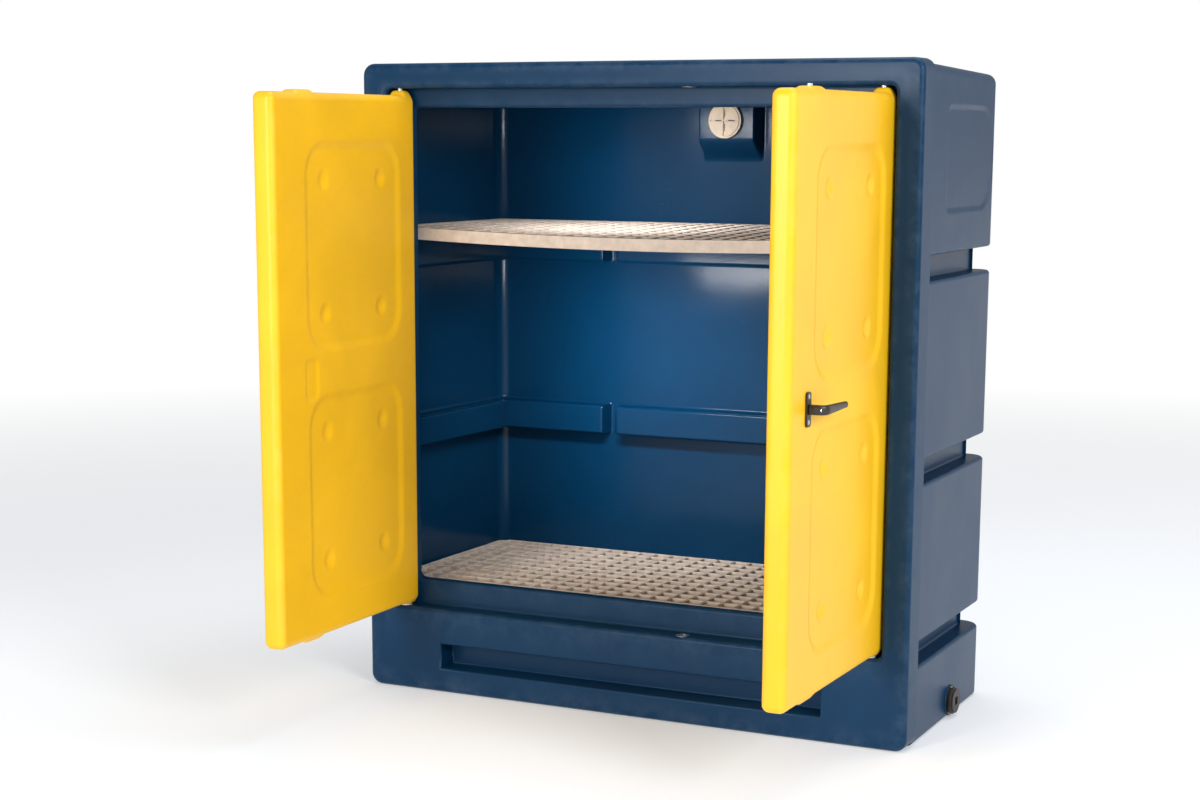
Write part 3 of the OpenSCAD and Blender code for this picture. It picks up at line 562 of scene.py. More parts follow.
def skin_surface(inset, corner_r, places, sizes, outer):
    """One face of the box's skin on a grid: rows climb from the floor's middle up the wall and over
    the roof to its middle, and columns follow the plan from the right front to the left front.

    A wall point is the plan's point moved inwards along its normal by the channel's depth there;
    floor and roof rows shrink the plan towards a line down the middle.
    """
    floors = (151 * MM, 507 * MM, 891 * MM)
    plan, normals = plan_path(inset, corner_r, places, sizes)
    count = len(plan)
    x, y = plan[:, 0], plan[:, 1]
    on_back = normals[:, 1] > 0.9
    rib_half = sizes.rib_w / 2 - (0.0 if outer else sizes.wall)
    ribs = window(np.abs(x), sizes.rib_x, rib_half, 5 * MM) * on_back
    keep = 1.0 - ribs
    roof_z = HEIGHT - sizes.collar_step - inset - sizes.draft * y / DEPTH
    edge_r = max(sizes.top_r - inset, 5 * MM)
    foot_r = 8 * MM
    section = wall_rows(0.0 if outer else sizes.wall, floors, sizes)
    split = 990 * MM
    reference = HEIGHT - sizes.collar_step - inset
    z = np.repeat(section[:, 1:2], count, axis=1)
    scale = (roof_z - edge_r - split) / (reference - edge_r - split)
    z = np.where(z > split, split + (z - split) * scale[None, :], z)
    deep = section[:, 0:1] * keep[None, :]
    if outer:
        on_side = np.abs(normals[:, 0]) > 0.99
        deep = deep + side_panel_depth(y[None, :], z) * on_side[None, :]
    wall = np.stack([x[None, :] - normals[:, 0] * deep, y[None, :] - normals[:, 1] * deep, z], axis=2)
    half = sizes.hood_w / 2 - (sizes.wall if outer else 0.0)
    wall[:, :, 1] -= hood_depth(wall[:, :, 0], z, half, sizes) * on_back[None, :]

    along = np.abs(np.linspace(-1, 1, count))
    middle = np.stack([np.zeros(count), plan[0, 1] + (DEPTH * 0.72 - plan[0, 1]) * (1 - along)], axis=1)

    def rim(radius, base, up):
        """Rows of a rounded edge: in by r(1 - cos a) and along Z by r(1 - sin a)."""
        angles = np.radians(np.linspace(0, 90, 8))
        moved_in = radius * (1 - np.cos(angles))
        moved_z = radius * (1 - np.sin(angles))
        points = plan[None] - normals[None] * moved_in[:, None, None]
        height = base[None, :] - up * moved_z[:, None]
        return np.concatenate([points, height[:, :, None]], axis=2)

    def cap(ring, height_at):
        """Rows from a ring to the middle line, each a mix of the two."""
        shares = np.array([0.05, 0.2, 0.4, 0.6, 0.8, 1.0])[:, None, None]
        points = ring[None, :, :2] * (1 - shares) + middle[None] * shares
        return np.concatenate([points, height_at(points[:, :, 1])[:, :, None]], axis=2)

    top = rim(edge_r, roof_z, 1.0)
    roof = cap(top[-1], lambda at: HEIGHT - sizes.collar_step - inset - sizes.draft * at / DEPTH)
    bottom = rim(foot_r, np.full(count, inset), -1.0)[::-1]
    floor = cap(bottom[0], lambda at: np.full(at.shape, inset))[::-1]
    surface = np.concatenate([floor, bottom, wall, top, roof])
    lips = np.abs(np.gradient(section[:, 0]))
    # Channel lips and the top edge are marked to be painted lighter: part rubbed wear, part painted highlight.
    edge_wear_and_highlight = np.zeros(surface.shape[:2])
    start = len(floor) + len(bottom)
    near_lip = (section[:, 0] < 6 * MM) & (lips > 0.2 * MM)
    edge_wear_and_highlight[start:start + len(section)] = near_lip[:, None] * keep[None, :]
    edge_wear_and_highlight[start + len(section):start + len(section) + len(top)] = 0.6
    surface[:, :, 1] += FRONT_Y
    return surface, edge_wear_and_highlight


def box_skin(shape, sizes):
    """The box behind the collar: an outer and an inner skin joined round their front rims."""
    start = sizes.collar - 6 * MM
    soft = 4 * MM
    ribs = [s * (sizes.rib_x + t * sizes.rib_w / 2 + d)
            for s in (-1, 1) for t in (-1, 1) for d in (-8 * MM, -soft, -2 * MM, 0, 2 * MM, soft, 8 * MM)]
    hood = [s * (sizes.hood_w / 2 + d) for s in (-1, 1)
            for d in (-14 * MM, -11 * MM, -9 * MM, -7 * MM, -5 * MM, -3 * MM, -MM, 2 * MM, 5 * MM)]
    panel_start = 170 * MM
    side = np.concatenate([np.linspace(start, panel_start, 8)[:-1],
                           np.linspace(panel_start, DEPTH - sizes.rear_r, 62)])
    limit = HALF_W - sizes.collar_step - sizes.draft - sizes.rear_r
    places = {"side": side, "back": spread(np.array([-limit, limit, 0.0] + ribs + hood), 24 * MM)}
    outer, edge_wear_and_highlight = skin_surface(0.0, sizes.rear_r, places, sizes, True)
    inner_limit = HALF_W - sizes.collar_step - sizes.draft - sizes.wall - sizes.inner_r
    inner_stops = np.array([-inner_limit, inner_limit, 0.0] + hood_stops(sizes) + inner_ribs(sizes))
    shorter = (DEPTH - sizes.wall - sizes.inner_r - start) / (side[-1] - start)
    inner_places = {"side": start + (side - start) * shorter,
                    "back": match_count(spread(inner_stops, 24 * MM), len(places["back"]))}
    inner, _ = skin_surface(sizes.wall, sizes.inner_r, inner_places, sizes, False)
    shape.grid(outer, mark=edge_wear_and_highlight, flip=False)
    shape.grid(inner, flip=True, inside=1.0)
    for edge in (0, -1):
        strip = np.stack([outer[:, edge], inner[:, edge]], axis=1)
        shape.grid(strip, flip=(edge == 0))


def hood_stops(sizes):
    """Places across the inner back wall where the hood's sides turn."""
    return [s * (sizes.hood_w / 2 + d) for s in (-1, 1)
            for d in (-8 * MM, -5 * MM, -3 * MM, -1 * MM, 1 * MM, 3 * MM, 6 * MM)]


def inner_ribs(sizes):
    """Places across the inner back wall where the ledges break at the ribs."""
    half = sizes.rib_w / 2 - sizes.wall
    return [s * (sizes.rib_x + t * half + d)
            for s in (-1, 1) for t in (-1, 1) for d in (-8 * MM, -4 * MM, -2 * MM, 0, 2 * MM, 4 * MM, 8 * MM)]


def match_count(places, count):
    """Adds places in the widest gaps, or thins the closest ones, until there are count of them."""
    places = list(places)
    while len(places) < count:
        gaps = np.diff(places)
        at = int(np.argmax(gaps))
        places.insert(at + 1, (places[at] + places[at + 1]) / 2)
    while len(places) > count:
        gaps = np.array(places[2:]) - np.array(places[:-2])
        places.pop(int(np.argmin(gaps)) + 1)
    return np.array(places)


def frame_ring(half, low, high, radius, y, columns):
    """A rounded rectangle in X and Z at one depth, anticlockwise seen from the front.

    Its upper and lower sides have points at the given columns, and each corner is a quarter circle.
    """
    uprights = np.linspace(0.08, 0.92, 6)
    corners = ((1, low + radius, -90), (1, high - radius, 0),
               (-1, high - radius, 90), (-1, low + radius, 180))
    bends = [arc((s * (half - radius), z), radius, a, a + 90, 7) for s, z, a in corners]
    bottom = np.stack([columns, np.full(len(columns), low)], axis=1)
    top = np.stack([columns[::-1], np.full(len(columns), high)], axis=1)
    right = np.stack([np.full(6, half), low + radius + (high - low - 2 * radius) * uprights], axis=1)
    left = np.stack([np.full(6, -half), right[::-1, 1]], axis=1)
    loop = np.concatenate([bottom, bends[0], right, bends[1], top, bends[2], left, bends[3]])
    return np.stack([loop[:, 0], np.full(len(loop), y), loop[:, 1]], axis=1)


def collar(shape, sizes):
    """The front frame: rounded rectangles carried along its section, from the outer back edge over
    the front, into the rebate, round the stop and back. The plinth's pocket takes the place of the
    faces between two of the rings, and a blind socket behind each bolt keeper that of one face."""
    outer = (HALF_W, 0.0, HEIGHT, sizes.collar_r)
    opening = (HALF_W - sizes.stile, sizes.sill, HEIGHT - sizes.rail, 12 * MM)
    mouth = (opening[0] - sizes.stop, sizes.sill + sizes.step, opening[2] - sizes.stop, 14 * MM)
    lip_r = 5 * MM
    pocket_half = sizes.pocket_w / 2 + lip_r
    low, high = (np.array(corner, dtype=float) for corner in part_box("bolt_keepers"))
    socket_x, socket_y = (low[:2] + high[:2]) / 2 - [0, FRONT_Y]
    socket_half = 9.5 * MM
    columns = np.sort(np.concatenate([np.linspace(-pocket_half, pocket_half, 9), [-0.46, 0.46],
                                      [socket_x - socket_half, socket_x + socket_half]]))
    rings, marks = [], []

    def ring(loop, grow, y, mark=0.0):
        half, low, high, radius = loop
        rings.append(frame_ring(half + grow, low - grow, high + grow, max(radius + grow, 3 * MM), y, columns))
        marks.append(mark)

    def bend(loop, grows, depths, mark=0.0):
        for grow, y in zip(grows, depths):
            ring(loop, grow, y, mark)

    turn = np.radians(np.linspace(0, 90, 7))
    back = sizes.collar
    bend(outer, -3 * MM * (1 - np.sin(turn)), back - 3 * MM * (1 - np.cos(turn)))
    front_r = 11 * MM
    bend(outer, -front_r * (1 - np.cos(turn)), front_r * (1 - np.sin(turn)), 0.9)
    low_ring = (HALF_W - 30 * MM, sizes.pocket_z - lip_r, HEIGHT - 24 * MM, 16 * MM)
    high_ring = (HALF_W - 36 * MM, sizes.pocket_z + sizes.pocket_h + lip_r, HEIGHT - 30 * MM, 14 * MM)
    ring(low_ring, 0.0, 0.0)
    first_pocket_row = len(rings) - 1
    ring(high_ring, 0.0, 0.0)
    edge_r = 9 * MM
    bend(opening, edge_r * (1 - np.sin(turn)), edge_r * (1 - np.cos(turn)), 0.7)
    socket_row = len(rings) - 1
    ring(opening, 0.0, socket_y + socket_half)
    root = 5 * MM
    bend(opening, -root * (1 - np.cos(turn)), sizes.rebate - root + root * np.sin(turn))
    stop_r = 7 * MM
    bend(mouth, stop_r * (1 - np.sin(turn)), sizes.rebate + stop_r * (1 - np.cos(turn)), 0.5)
    bend(mouth, 3 * MM * (1 - np.cos(turn)), back - 3 * MM + 3 * MM * np.sin(turn))
    surface = np.stack(rings + rings[:1])
    # Rings marked here are painted lighter by their material: the collar's front edge, the opening's edge and the
    # stop, as part rubbed wear and part painted highlight.
    edge_wear_and_highlight = np.repeat(np.array(marks + marks[:1])[:, None], surface.shape[1], axis=1)
    surface[:, :, 1] += FRONT_Y
    rows, cols = surface.shape[:2]
    faces = grid_faces(rows, cols, 0, close=True, flip=True).reshape(rows - 1, cols, 4)
    kept = np.ones((rows - 1, cols), dtype=bool)
    first = int(np.argmin(np.abs(columns + pocket_half)))
    last = int(np.argmin(np.abs(columns - pocket_half)))
    kept[first_pocket_row, first:last] = False
    under = int(np.argmin(np.abs(columns - socket_x + socket_half)))
    over = 2 * len(columns) + 18 - under
    for column, way in ((under, -1), (over, 1)):
        kept[socket_row, column] = False
        socket_hole(shape, surface[socket_row:socket_row + 2, column:column + 2], way * 32 * MM)
    shape.add(surface, faces[kept], edge_wear_and_highlight)
    low_row, high_row = surface[first_pocket_row:first_pocket_row + 2, first:last + 1]
    pocket(shape, low_row, high_row, sizes, lip_r)


def socket_hole(shape, corners, rise):
    """A blind socket: the four corners of a missing face carried up or down by rise, and closed."""
    loop = np.concatenate([corners[0], corners[1][::-1]])
    end = loop + [0, 0, rise]
    shut = np.stack([end[:, 0], np.full(4, end[:, 1].mean()), end[:, 2]], axis=1)
    shape.grid(np.stack([loop, end, shut]), close=True, flip=True)


def pocket(shape, low_row, high_row, sizes, lip_r):
    """The plinth's pocket: its mouth's outline drawn in round the lip, pushed back, and closed."""
    loop = np.concatenate([low_row, high_row[::-1]])
    middle = loop.mean(axis=0)
    half = np.abs(loop - middle).max(axis=0)
    turn = np.radians(np.linspace(0, 90, 6))
    draws = np.concatenate([lip_r * np.sin(turn), lip_r + 4 * MM * (1 - np.cos(turn)) + 1 * MM])
    pushes = np.concatenate([lip_r * (1 - np.cos(turn)), sizes.pocket_d - 4 * MM + 4 * MM * np.sin(turn)])
    rings = []
    for draw, push in zip(draws, pushes):
        shrink = np.array([(half[0] - draw) / half[0], 1.0, (half[2] - draw) / half[2]])
        rings.append(middle + (loop - middle) * shrink + [0, push, 0])
    rings.append(np.stack([rings[-1][:, 0], rings[-1][:, 1], np.full(len(loop), middle[2])], axis=1))
    shape.grid(np.stack(rings), close=True, flip=True)


def turned(shape, profile, centre, count=48):
    """A profile of (distance along +X, radius) points turned round an axis along X."""
    angle = np.linspace(0, 2 * math.pi, count, endpoint=False)
    along = profile[:, 0:1] + np.zeros(count)
    points = np.stack([centre[0] + along, centre[1] + profile[:, 1:2] * np.cos(angle),
                       centre[2] + profile[:, 1:2] * np.sin(angle)], axis=2)
    shape.grid(points, close=True)


class CABINET_OT_body(bpy.types.Operator):
    """Build the moulded body: collar, box, ledges, hood and drain seat"""
    bl_idname = "cabinet.body"
    bl_label = "Body"

    def execute(self, context):
        sizes = context.scene.cabinet_shell
        shape = Shape()
        box_skin(shape, sizes)
        collar(shape, sizes)
        low, high = (np.array(corner, dtype=float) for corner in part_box("drain_bush"))
        seat = np.array([high[0], (low[1] + high[1]) / 2, (low[2] + high[2]) / 2])
        bore = (high[1] - low[1]) / 2
        ring = np.concatenate([
            [[-16 * MM, bore]], arc((0.0, bore + 2 * MM), 2 * MM, -90, 0, 4) - [2 * MM, 0],
            arc((-2 * MM, bore + 1.5 * MM), 2 * MM, 0, 90, 4),
            [[-16 * MM, bore + 3.5 * MM], [-16 * MM, bore]]])
        turned(shape, ring, seat)
        front = sizes.collar + FRONT_Y
        ledge_top = float(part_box("floor_grating")[0][2]) - 0.3 * MM
        section = np.concatenate([
            arc((front - 5 * MM, ledge_top - 14 * MM), 1 * MM, 180, 270, 3),
            arc((front + 20 * MM, ledge_top - 10 * MM), 4 * MM, -90, 0, 4),
            arc((front + 20 * MM, ledge_top - 4 * MM), 4 * MM, 0, 90, 4),
            arc((front - 5 * MM, ledge_top - 1 * MM), 1 * MM, 90, 180, 3)])
        ends = [-0.575, -0.574, 0.574, 0.575]
        bar = np.stack([np.stack([np.full(len(section), x), section[:, 0], section[:, 1]], axis=1)
                        for x in ends])
        middle = section.mean(axis=0)
        bar[0, :, 1:] = bar[3, :, 1:] = middle
        shape.grid(bar, close=True, flip=False)
        piece = shape.build("moulded_body", "cabinet", "shell")
        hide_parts("body_shell", "body_base", "body_collar", "body_plinth")
        return {"FINISHED"}


# ---------------------------------------------------------------- the leaves

def leaf_places(sizes, points, side):
    """Leaf coordinates to the cabinet's frame: x from the hinge pin towards the free edge and y from
    the middle plane, mirrored on the right leaf, then turned about the pin by the open angle."""
    joint = JOINTS["left_door_hinge" if side < 0 else "right_door_hinge"]["pos_m"]
    angle = -sizes.left_open if side < 0 else sizes.right_open
    x = points[..., 0] * (-1.0 if side > 0 else 1.0)
    y = points[..., 1]
    return np.stack([joint[0] + x * math.cos(angle) - y * math.sin(angle),
                     joint[1] + x * math.sin(angle) + y * math.cos(angle), points[..., 2]], axis=-1)


def panel_depth(s, z, low_z, sizes):
    """How far a leaf's face is sunk: two dished panels with wide soft borders, each with four dimples."""
    depth = np.zeros(np.broadcast(s, z).shape)
    dimples = np.zeros_like(depth)
    for middle in (low_z + 275 * MM, low_z + 759 * MM):
        inside = -box_distance(s - sizes.panel_x, z - middle,
                               sizes.panel_w / 2, sizes.panel_h / 2, sizes.panel_r)
        depth = depth + sizes.panel_deep * smooth(inside / (20 * MM) + 0.5)
        for dx in (-106 * MM, 106 * MM):
            for dz in (-127 * MM, 127 * MM):
                reach = np.hypot(s - sizes.panel_x - dx, z - middle - dz) / sizes.dimple_r
                dimples = dimples + sizes.dimple_deep * smooth(1.15 - reach)
    return depth + dimples


def leaf_surface(shape, sizes, side):
    """A leaf: two face grids sunk by the panels' depth, joined by a rounded rim that is carried round
    the faces' edges and swells into the pads over the pins and bolts."""
    low, high = (np.array(corner, dtype=float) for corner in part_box("left_door" if side < 0 else "right_door"))
    low_z, high_z = float(low[2]) + sizes.boss_h, float(high[2]) - sizes.boss_h
    radius, half = sizes.edge_r, sizes.thick / 2
    s = np.linspace(radius, sizes.width - radius, 119)
    z = np.linspace(low_z + radius, high_z - radius, 239)
    depth = panel_depth(s[None, :], z[:, None], low_z, sizes)
    inner_depth = depth
    if side < 0:
        # a shallow recess in the left leaf's inner face, level with the lock
        seat = -box_distance(s[None, :] - 412 * MM, z[:, None] - 694 * MM, 21 * MM, 38 * MM, 8 * MM)
        inner_depth = depth + 2.5 * MM * smooth(seat / (5 * MM) + 0.5)
    x = np.broadcast_to(s - sizes.inset, depth.shape)
    heights = np.broadcast_to(z[:, None], depth.shape)
    outer = np.stack([x, depth - half, heights], axis=2)
    inner = np.stack([x, half - inner_depth, heights], axis=2)
    mirrored = side > 0
    shape.grid(leaf_places(sizes, outer, side), flip=mirrored)
    shape.grid(leaf_places(sizes, inner, side), flip=not mirrored)

    bends = 8
    corner = np.radians(np.linspace(0, 90, bends))

    def loop(grid):
        """The grid's border as one loop, with each corner point repeated for its quarter circle."""
        bottom, right, top, left = grid[0, 1:-1], grid[1:-1, -1], grid[-1, 1:-1][::-1], grid[1:-1, 0][::-1]
        ends = [np.repeat(grid[i, j][None], bends, axis=0) for i, j in ((0, -1), (-1, -1), (-1, 0), (0, 0))]
        return np.concatenate([bottom, ends[0], right, ends[1], top, ends[2], left, ends[3]])

    def outward(start, count):
        """Outward directions: count copies of one angle, or a corner's turn where count is None."""
        a = start + corner if count is None else np.full(count, start)
        return np.stack([np.cos(a), np.sin(a)], axis=1)

    quarter = math.pi / 2
    across, up = depth.shape[1] - 2, depth.shape[0] - 2
    ways = np.concatenate([outward(-quarter, across), outward(-quarter, None),
                           outward(0.0, up), outward(0.0, None),
                           outward(quarter, across), outward(quarter, None),
                           outward(math.pi, up), outward(math.pi, None)])
    front, rear = loop(outer), loop(inner)
    place = front[:, 0] + sizes.inset + ways[:, 0] * radius
    taller = np.where(ways[:, 1] > 0, 5 * MM, 0.0)
    hinge_pad = window(place, sizes.inset, 15 * MM, 12 * MM) * (sizes.boss_h + taller)
    bolt_pad = window(place, 410 * MM, 30 * MM, 16 * MM) * sizes.boss_h
    swell = np.maximum(hinge_pad, bolt_pad) * np.abs(ways[:, 1]) ** 4 * np.sign(ways[:, 1])
    turn = np.radians(np.linspace(0, 90, 7))
    flat = half - radius
    steps = [(math.sin(a), -half + radius * (1 - math.cos(a))) for a in turn]
    steps += [(1.0, -flat / 3), (1.0, flat / 3)]
    steps += [(out, -y) for out, y in steps[:7][::-1]]
    rings = []
    for out, y in steps:
        base = front if y < 0 else rear
        ring = base.copy()
        ring[:, 0] = front[:, 0] + ways[:, 0] * radius * out
        ring[:, 1] = y
        ring[:, 2] = front[:, 2] + ways[:, 1] * radius * out + swell * out ** 3
        rings.append(ring)
    # The rim's rounded rows are marked to be painted lighter: part rubbed wear, part painted highlight.
    marks = np.repeat(np.array([0.8 * (0.1 < out < 1.0) for out, _ in steps])[:, None], len(front), axis=1)
    shape.grid(leaf_places(sizes, np.stack(rings), side), close=True, flip=not mirrored, mark=marks)


class CABINET_OT_doors(bpy.types.Operator):
    """Build both moulded leaves"""
    bl_idname = "cabinet.doors"
    bl_label = "Doors"

    def execute(self, context):
        sizes = context.scene.cabinet_door
        for side, node, body in ((-1, "left_door", "left_leaf"), (1, "right_door", "right_leaf")):
            shape = Shape()
            leaf_surface(shape, sizes, side)
            piece = shape.build("moulded_" + node, body, "door")
            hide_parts(node)
        return {"FINISHED"}


# ---------------------------------------------------------------- lever

def superellipse(half_a, half_b, power, count):
    """Points a = A sgn(c)|c|^(2/p), b = B sgn(s)|s|^(2/p) round a squarish oval."""
    turn = np.linspace(0, 2 * math.pi, count, endpoint=False)
    c, s = np.cos(turn), np.sin(turn)
    return (half_a * np.sign(c) * np.abs(c) ** (2 / power), half_b * np.sign(s) * np.abs(s) ** (2 / power))


class CABINET_OT_lever(bpy.types.Operator):
    """Build the lever: an oval section carried out of the plate, round a bend and along the arm"""
    bl_idname = "cabinet.lever"
    bl_label = "Lever"

    def execute(self, context):
        sizes = context.scene.cabinet_door
        low, high = (np.array(corner, dtype=float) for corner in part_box("lever_handle"))
        middle_z = float(low[2] + high[2]) / 2
        spindle = 435 * MM
        bend_r = 12 * MM
        reach = sizes.lever_len - 2 * MM
        neck = np.linspace(4.7 * MM, sizes.lever_out - bend_r, 6)
        turn = np.radians(np.linspace(0, 90, 10))[1:]
        arm = np.linspace(bend_r, reach, 16)[1:]
        out = np.concatenate([neck, sizes.lever_out - bend_r + bend_r * np.sin(turn),
                              np.full(len(arm), sizes.lever_out)])
        back = np.concatenate([np.zeros(len(neck)), bend_r * (1 - np.cos(turn)), arm])
        facing = np.concatenate([np.zeros(len(neck)), turn, np.full(len(arm), math.pi / 2)])
        share = np.clip(back / reach, 0, 1)
        tall = (8.8 * MM) * (1 - share) + (5.4 * MM) * share
        thick = np.where(out < sizes.lever_out - bend_r, 8.0 * MM, 5.2 * MM)
        thick = np.convolve(np.pad(thick, 3, mode="edge"), np.ones(7) / 7, mode="valid")
        rings = []
        for o, b, f, t, w in zip(out, back, facing, tall, thick):
            a, c = superellipse(w, t, 2.8, 28)
            stand = sizes.thick / 2 + o
            rings.append(np.stack([-b + a * math.cos(f), -stand - a * math.sin(f), c], axis=1))
        tip = rings[-1]
        centre = tip.mean(axis=0)
        for grow, slip in ((0.94, 1.0), (0.8, 1.7), (0.5, 2.2), (0.0, 2.4)):
            rings.append(centre + (tip - centre) * grow + [-slip * MM, 0, 0])
        root = rings[0].mean(axis=0)
        rings.insert(0, np.repeat(root[None], len(tip), axis=0))
        points = np.stack(rings) + [spindle, 0, middle_z]
        shape = Shape()
        shape.grid(leaf_places(sizes, points, 1), close=True, flip=True)
        piece = shape.build("lever_grip", "lever", "lever")
        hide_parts("lever_handle")
        return {"FINISHED"}


# ---------------------------------------------------------------- gratings

def cell_edges(low, high, bar, pitch):
    """The bars' middle lines across a panel: on the pitch from its middle, with a bar at each edge."""
    middle = (low + high) / 2
    count = int((high - low - 3 * bar) / 2 / pitch + 0.5)
    return np.concatenate([[low], middle + pitch * (np.arange(-count, count) + 0.5), [high]])


def hole_sides(edges, bar):
    """Each cell's two hole sides: half a bar in from the middle lines, a whole bar at the panel's edges."""
    cells = np.arange(len(edges) - 1)
    return np.stack([edges[:-1] + np.where(cells == 0, bar, bar / 2),
                     edges[1:] - np.where(cells == len(edges) - 2, bar, bar / 2)], axis=1)


def bow(x, y, low, high, sag):
    """How far a panel hangs: sag at the middle of its front edge, and none at its ends and back."""
    return sag * (1 - (x / high[0]) ** 2) * ((high[1] - y) / (high[1] - low[1])) ** 1.5


def grating_cells(node, sizes, sag):
    """Every cell of a grating at once: a square tile round a rounded hole, its walls and its underside.

    A tile's points are copied to all cells by adding and scaling arrays; the clipped back corners pull
    points onto their line, and the sag lowers a point by its distance from the ends times its
    distance from the back.
    """
    low, high = (np.array(corner, dtype=float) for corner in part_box(node))
    bar = sizes.bar
    xs = cell_edges(low[0], high[0], bar, sizes.pitch)
    ys = np.concatenate([np.arange(low[1] + bar / 2, high[1] - bar, sizes.pitch), [high[1]]])
    ys[0] = low[1]
    cut_x, cut_y = hole_sides(xs, bar), hole_sides(ys, bar)
    turn = np.radians([0, 45, 90])
    signs = ((1, 1), (-1, 1), (-1, -1), (1, -1))
    bends = [turn + k * math.pi / 2 for k in range(4)]
    hole = np.concatenate([np.stack([np.full(3, sx), np.full(3, sy), np.cos(a), np.sin(a)], axis=1)
                           for (sx, sy), a in zip(signs, bends)])
    x0, x1 = xs[:-1][:, None], xs[1:][:, None]
    y0, y1 = ys[:-1][:, None], ys[1:][:, None]

    def ring(level, grow, radius):
        """One ring of hole points for every cell: corner centres plus radius times the turn."""
        hx0, hx1 = cut_x[:, 0:1] - grow, cut_x[:, 1:2] + grow
        hy0, hy1 = cut_y[:, 0:1] - grow, cut_y[:, 1:2] + grow
        rx = np.minimum(radius, (hx1 - hx0) / 2.2)
        ry = np.minimum(radius, (hy1 - hy0) / 2.2)
        px = np.where(hole[:, 0] > 0, hx1 - rx, hx0 + rx) + rx * hole[:, 2]
        py = np.where(hole[:, 1] > 0, hy1 - ry, hy0 + ry) + ry * hole[:, 3]
        return (np.broadcast_to(px[:, None], (len(px), len(py), 12)),
                np.broadcast_to(py[None], (len(px), len(py), 12)), level, bar)

    def tile(level):
        """The tile's outer ring: its corners and the points level with the hole's corners."""
        px = np.where(hole[:, 0] > 0, x1, x0)
        py = np.where(hole[:, 1] > 0, y1, y0)
        hx = np.where(hole[:, 0] > 0, cut_x[:, 1:2] - 3 * MM, cut_x[:, 0:1] + 3 * MM)
        hy = np.where(hole[:, 1] > 0, cut_y[:, 1:2] - 3 * MM, cut_y[:, 0:1] + 3 * MM)
        hx = np.clip(hx, x0, x1)
        hy = np.clip(hy, y0, y1)
        flat_x = np.abs(hole[:, 2]) < 0.1
        flat_y = np.abs(hole[:, 3]) < 0.1
        px = np.where(flat_x, hx, px)
        py = np.where(flat_y, hy, py)
        return (np.broadcast_to(px[:, None], (len(px), len(py), 12)),
                np.broadcast_to(py[None], (len(px), len(py), 12)), level, 0.0)

    top, bottom = float(high[2]), float(low[2])
    waist = bottom + 0.6 * (top - bottom)
    levels = [tile(bottom), ring(bottom, 1.2 * MM, 4 * MM), ring(waist, 0.6 * MM, 4 * MM),
              ring(top - 1.5 * MM, 0.0, 3.5 * MM), ring(top - 0.2 * MM, 0.8 * MM, 4 * MM),
              ring(top, 1.4 * MM, 4.4 * MM), tile(top - 0.5 * MM)]
    grids = []
    for px, py, level, keep in levels:
        limit = high[0] + high[1] - sizes.clip - keep * (math.sqrt(2) - 1) * 1.6
        over = np.maximum(np.abs(px) + py - limit, 0) / 2
        qx = px - np.sign(px) * over
        qy = py - over
        grids.append(np.stack([qx, qy, level - bow(qx, qy, low, high, sag)], axis=-1))
    points = np.stack(grids, axis=2)
    cells = points.shape[0] * points.shape[1]
    points = points.reshape(cells, len(levels), 12, 3)
    local = grid_faces(len(levels), 12, 0, close=True, flip=False)
    faces = (local[None] + np.arange(cells)[:, None, None] * len(levels) * 12).reshape(-1, 4)
    return points, faces, (low, high, top, bottom, sag)


def grating_edge(shape, sizes, facts):
    """The upright faces round a panel: its outline, with clipped back corners, carried from the
    underside to the top."""
    low, high, top, bottom, sag = facts
    steps = np.linspace(low[0], high[0], 49)
    clip = sizes.clip
    front = np.stack([steps, np.full(49, low[1])], axis=1)
    rest = np.array([[high[0], high[1] - clip], [high[0] - clip, high[1]], [low[0] + clip, high[1]],
                     [low[0], high[1] - clip]])
    loop = np.concatenate([front, rest])
    hang = bow(loop[:, 0], loop[:, 1], low, high, sag)
    rings = [np.stack([loop[:, 0], loop[:, 1], level - hang], axis=1) for level in (bottom, top - 0.5 * MM)]
    shape.grid(np.stack(rings), close=True)


class CABINET_OT_gratings(bpy.types.Operator):
    """Build the shelf grating and the floor grating"""
    bl_idname = "cabinet.gratings"
    bl_label = "Gratings"

    def execute(self, context):
        sizes = context.scene.cabinet_grating
        for node, body, sag in (("upper_shelf", "shelf", sizes.sag), ("floor_grating", "floor", 0.0)):
            shape = Shape()
            points, faces, facts = grating_cells(node, sizes, sag)
            shape.add(points, faces)
            grating_edge(shape, sizes, facts)
            piece = shape.build("moulded_" + node, body, "grating", angle=50)
            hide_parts(node)
        return {"FINISHED"}


# ---------------------------------------------------------------- finishes and small pieces

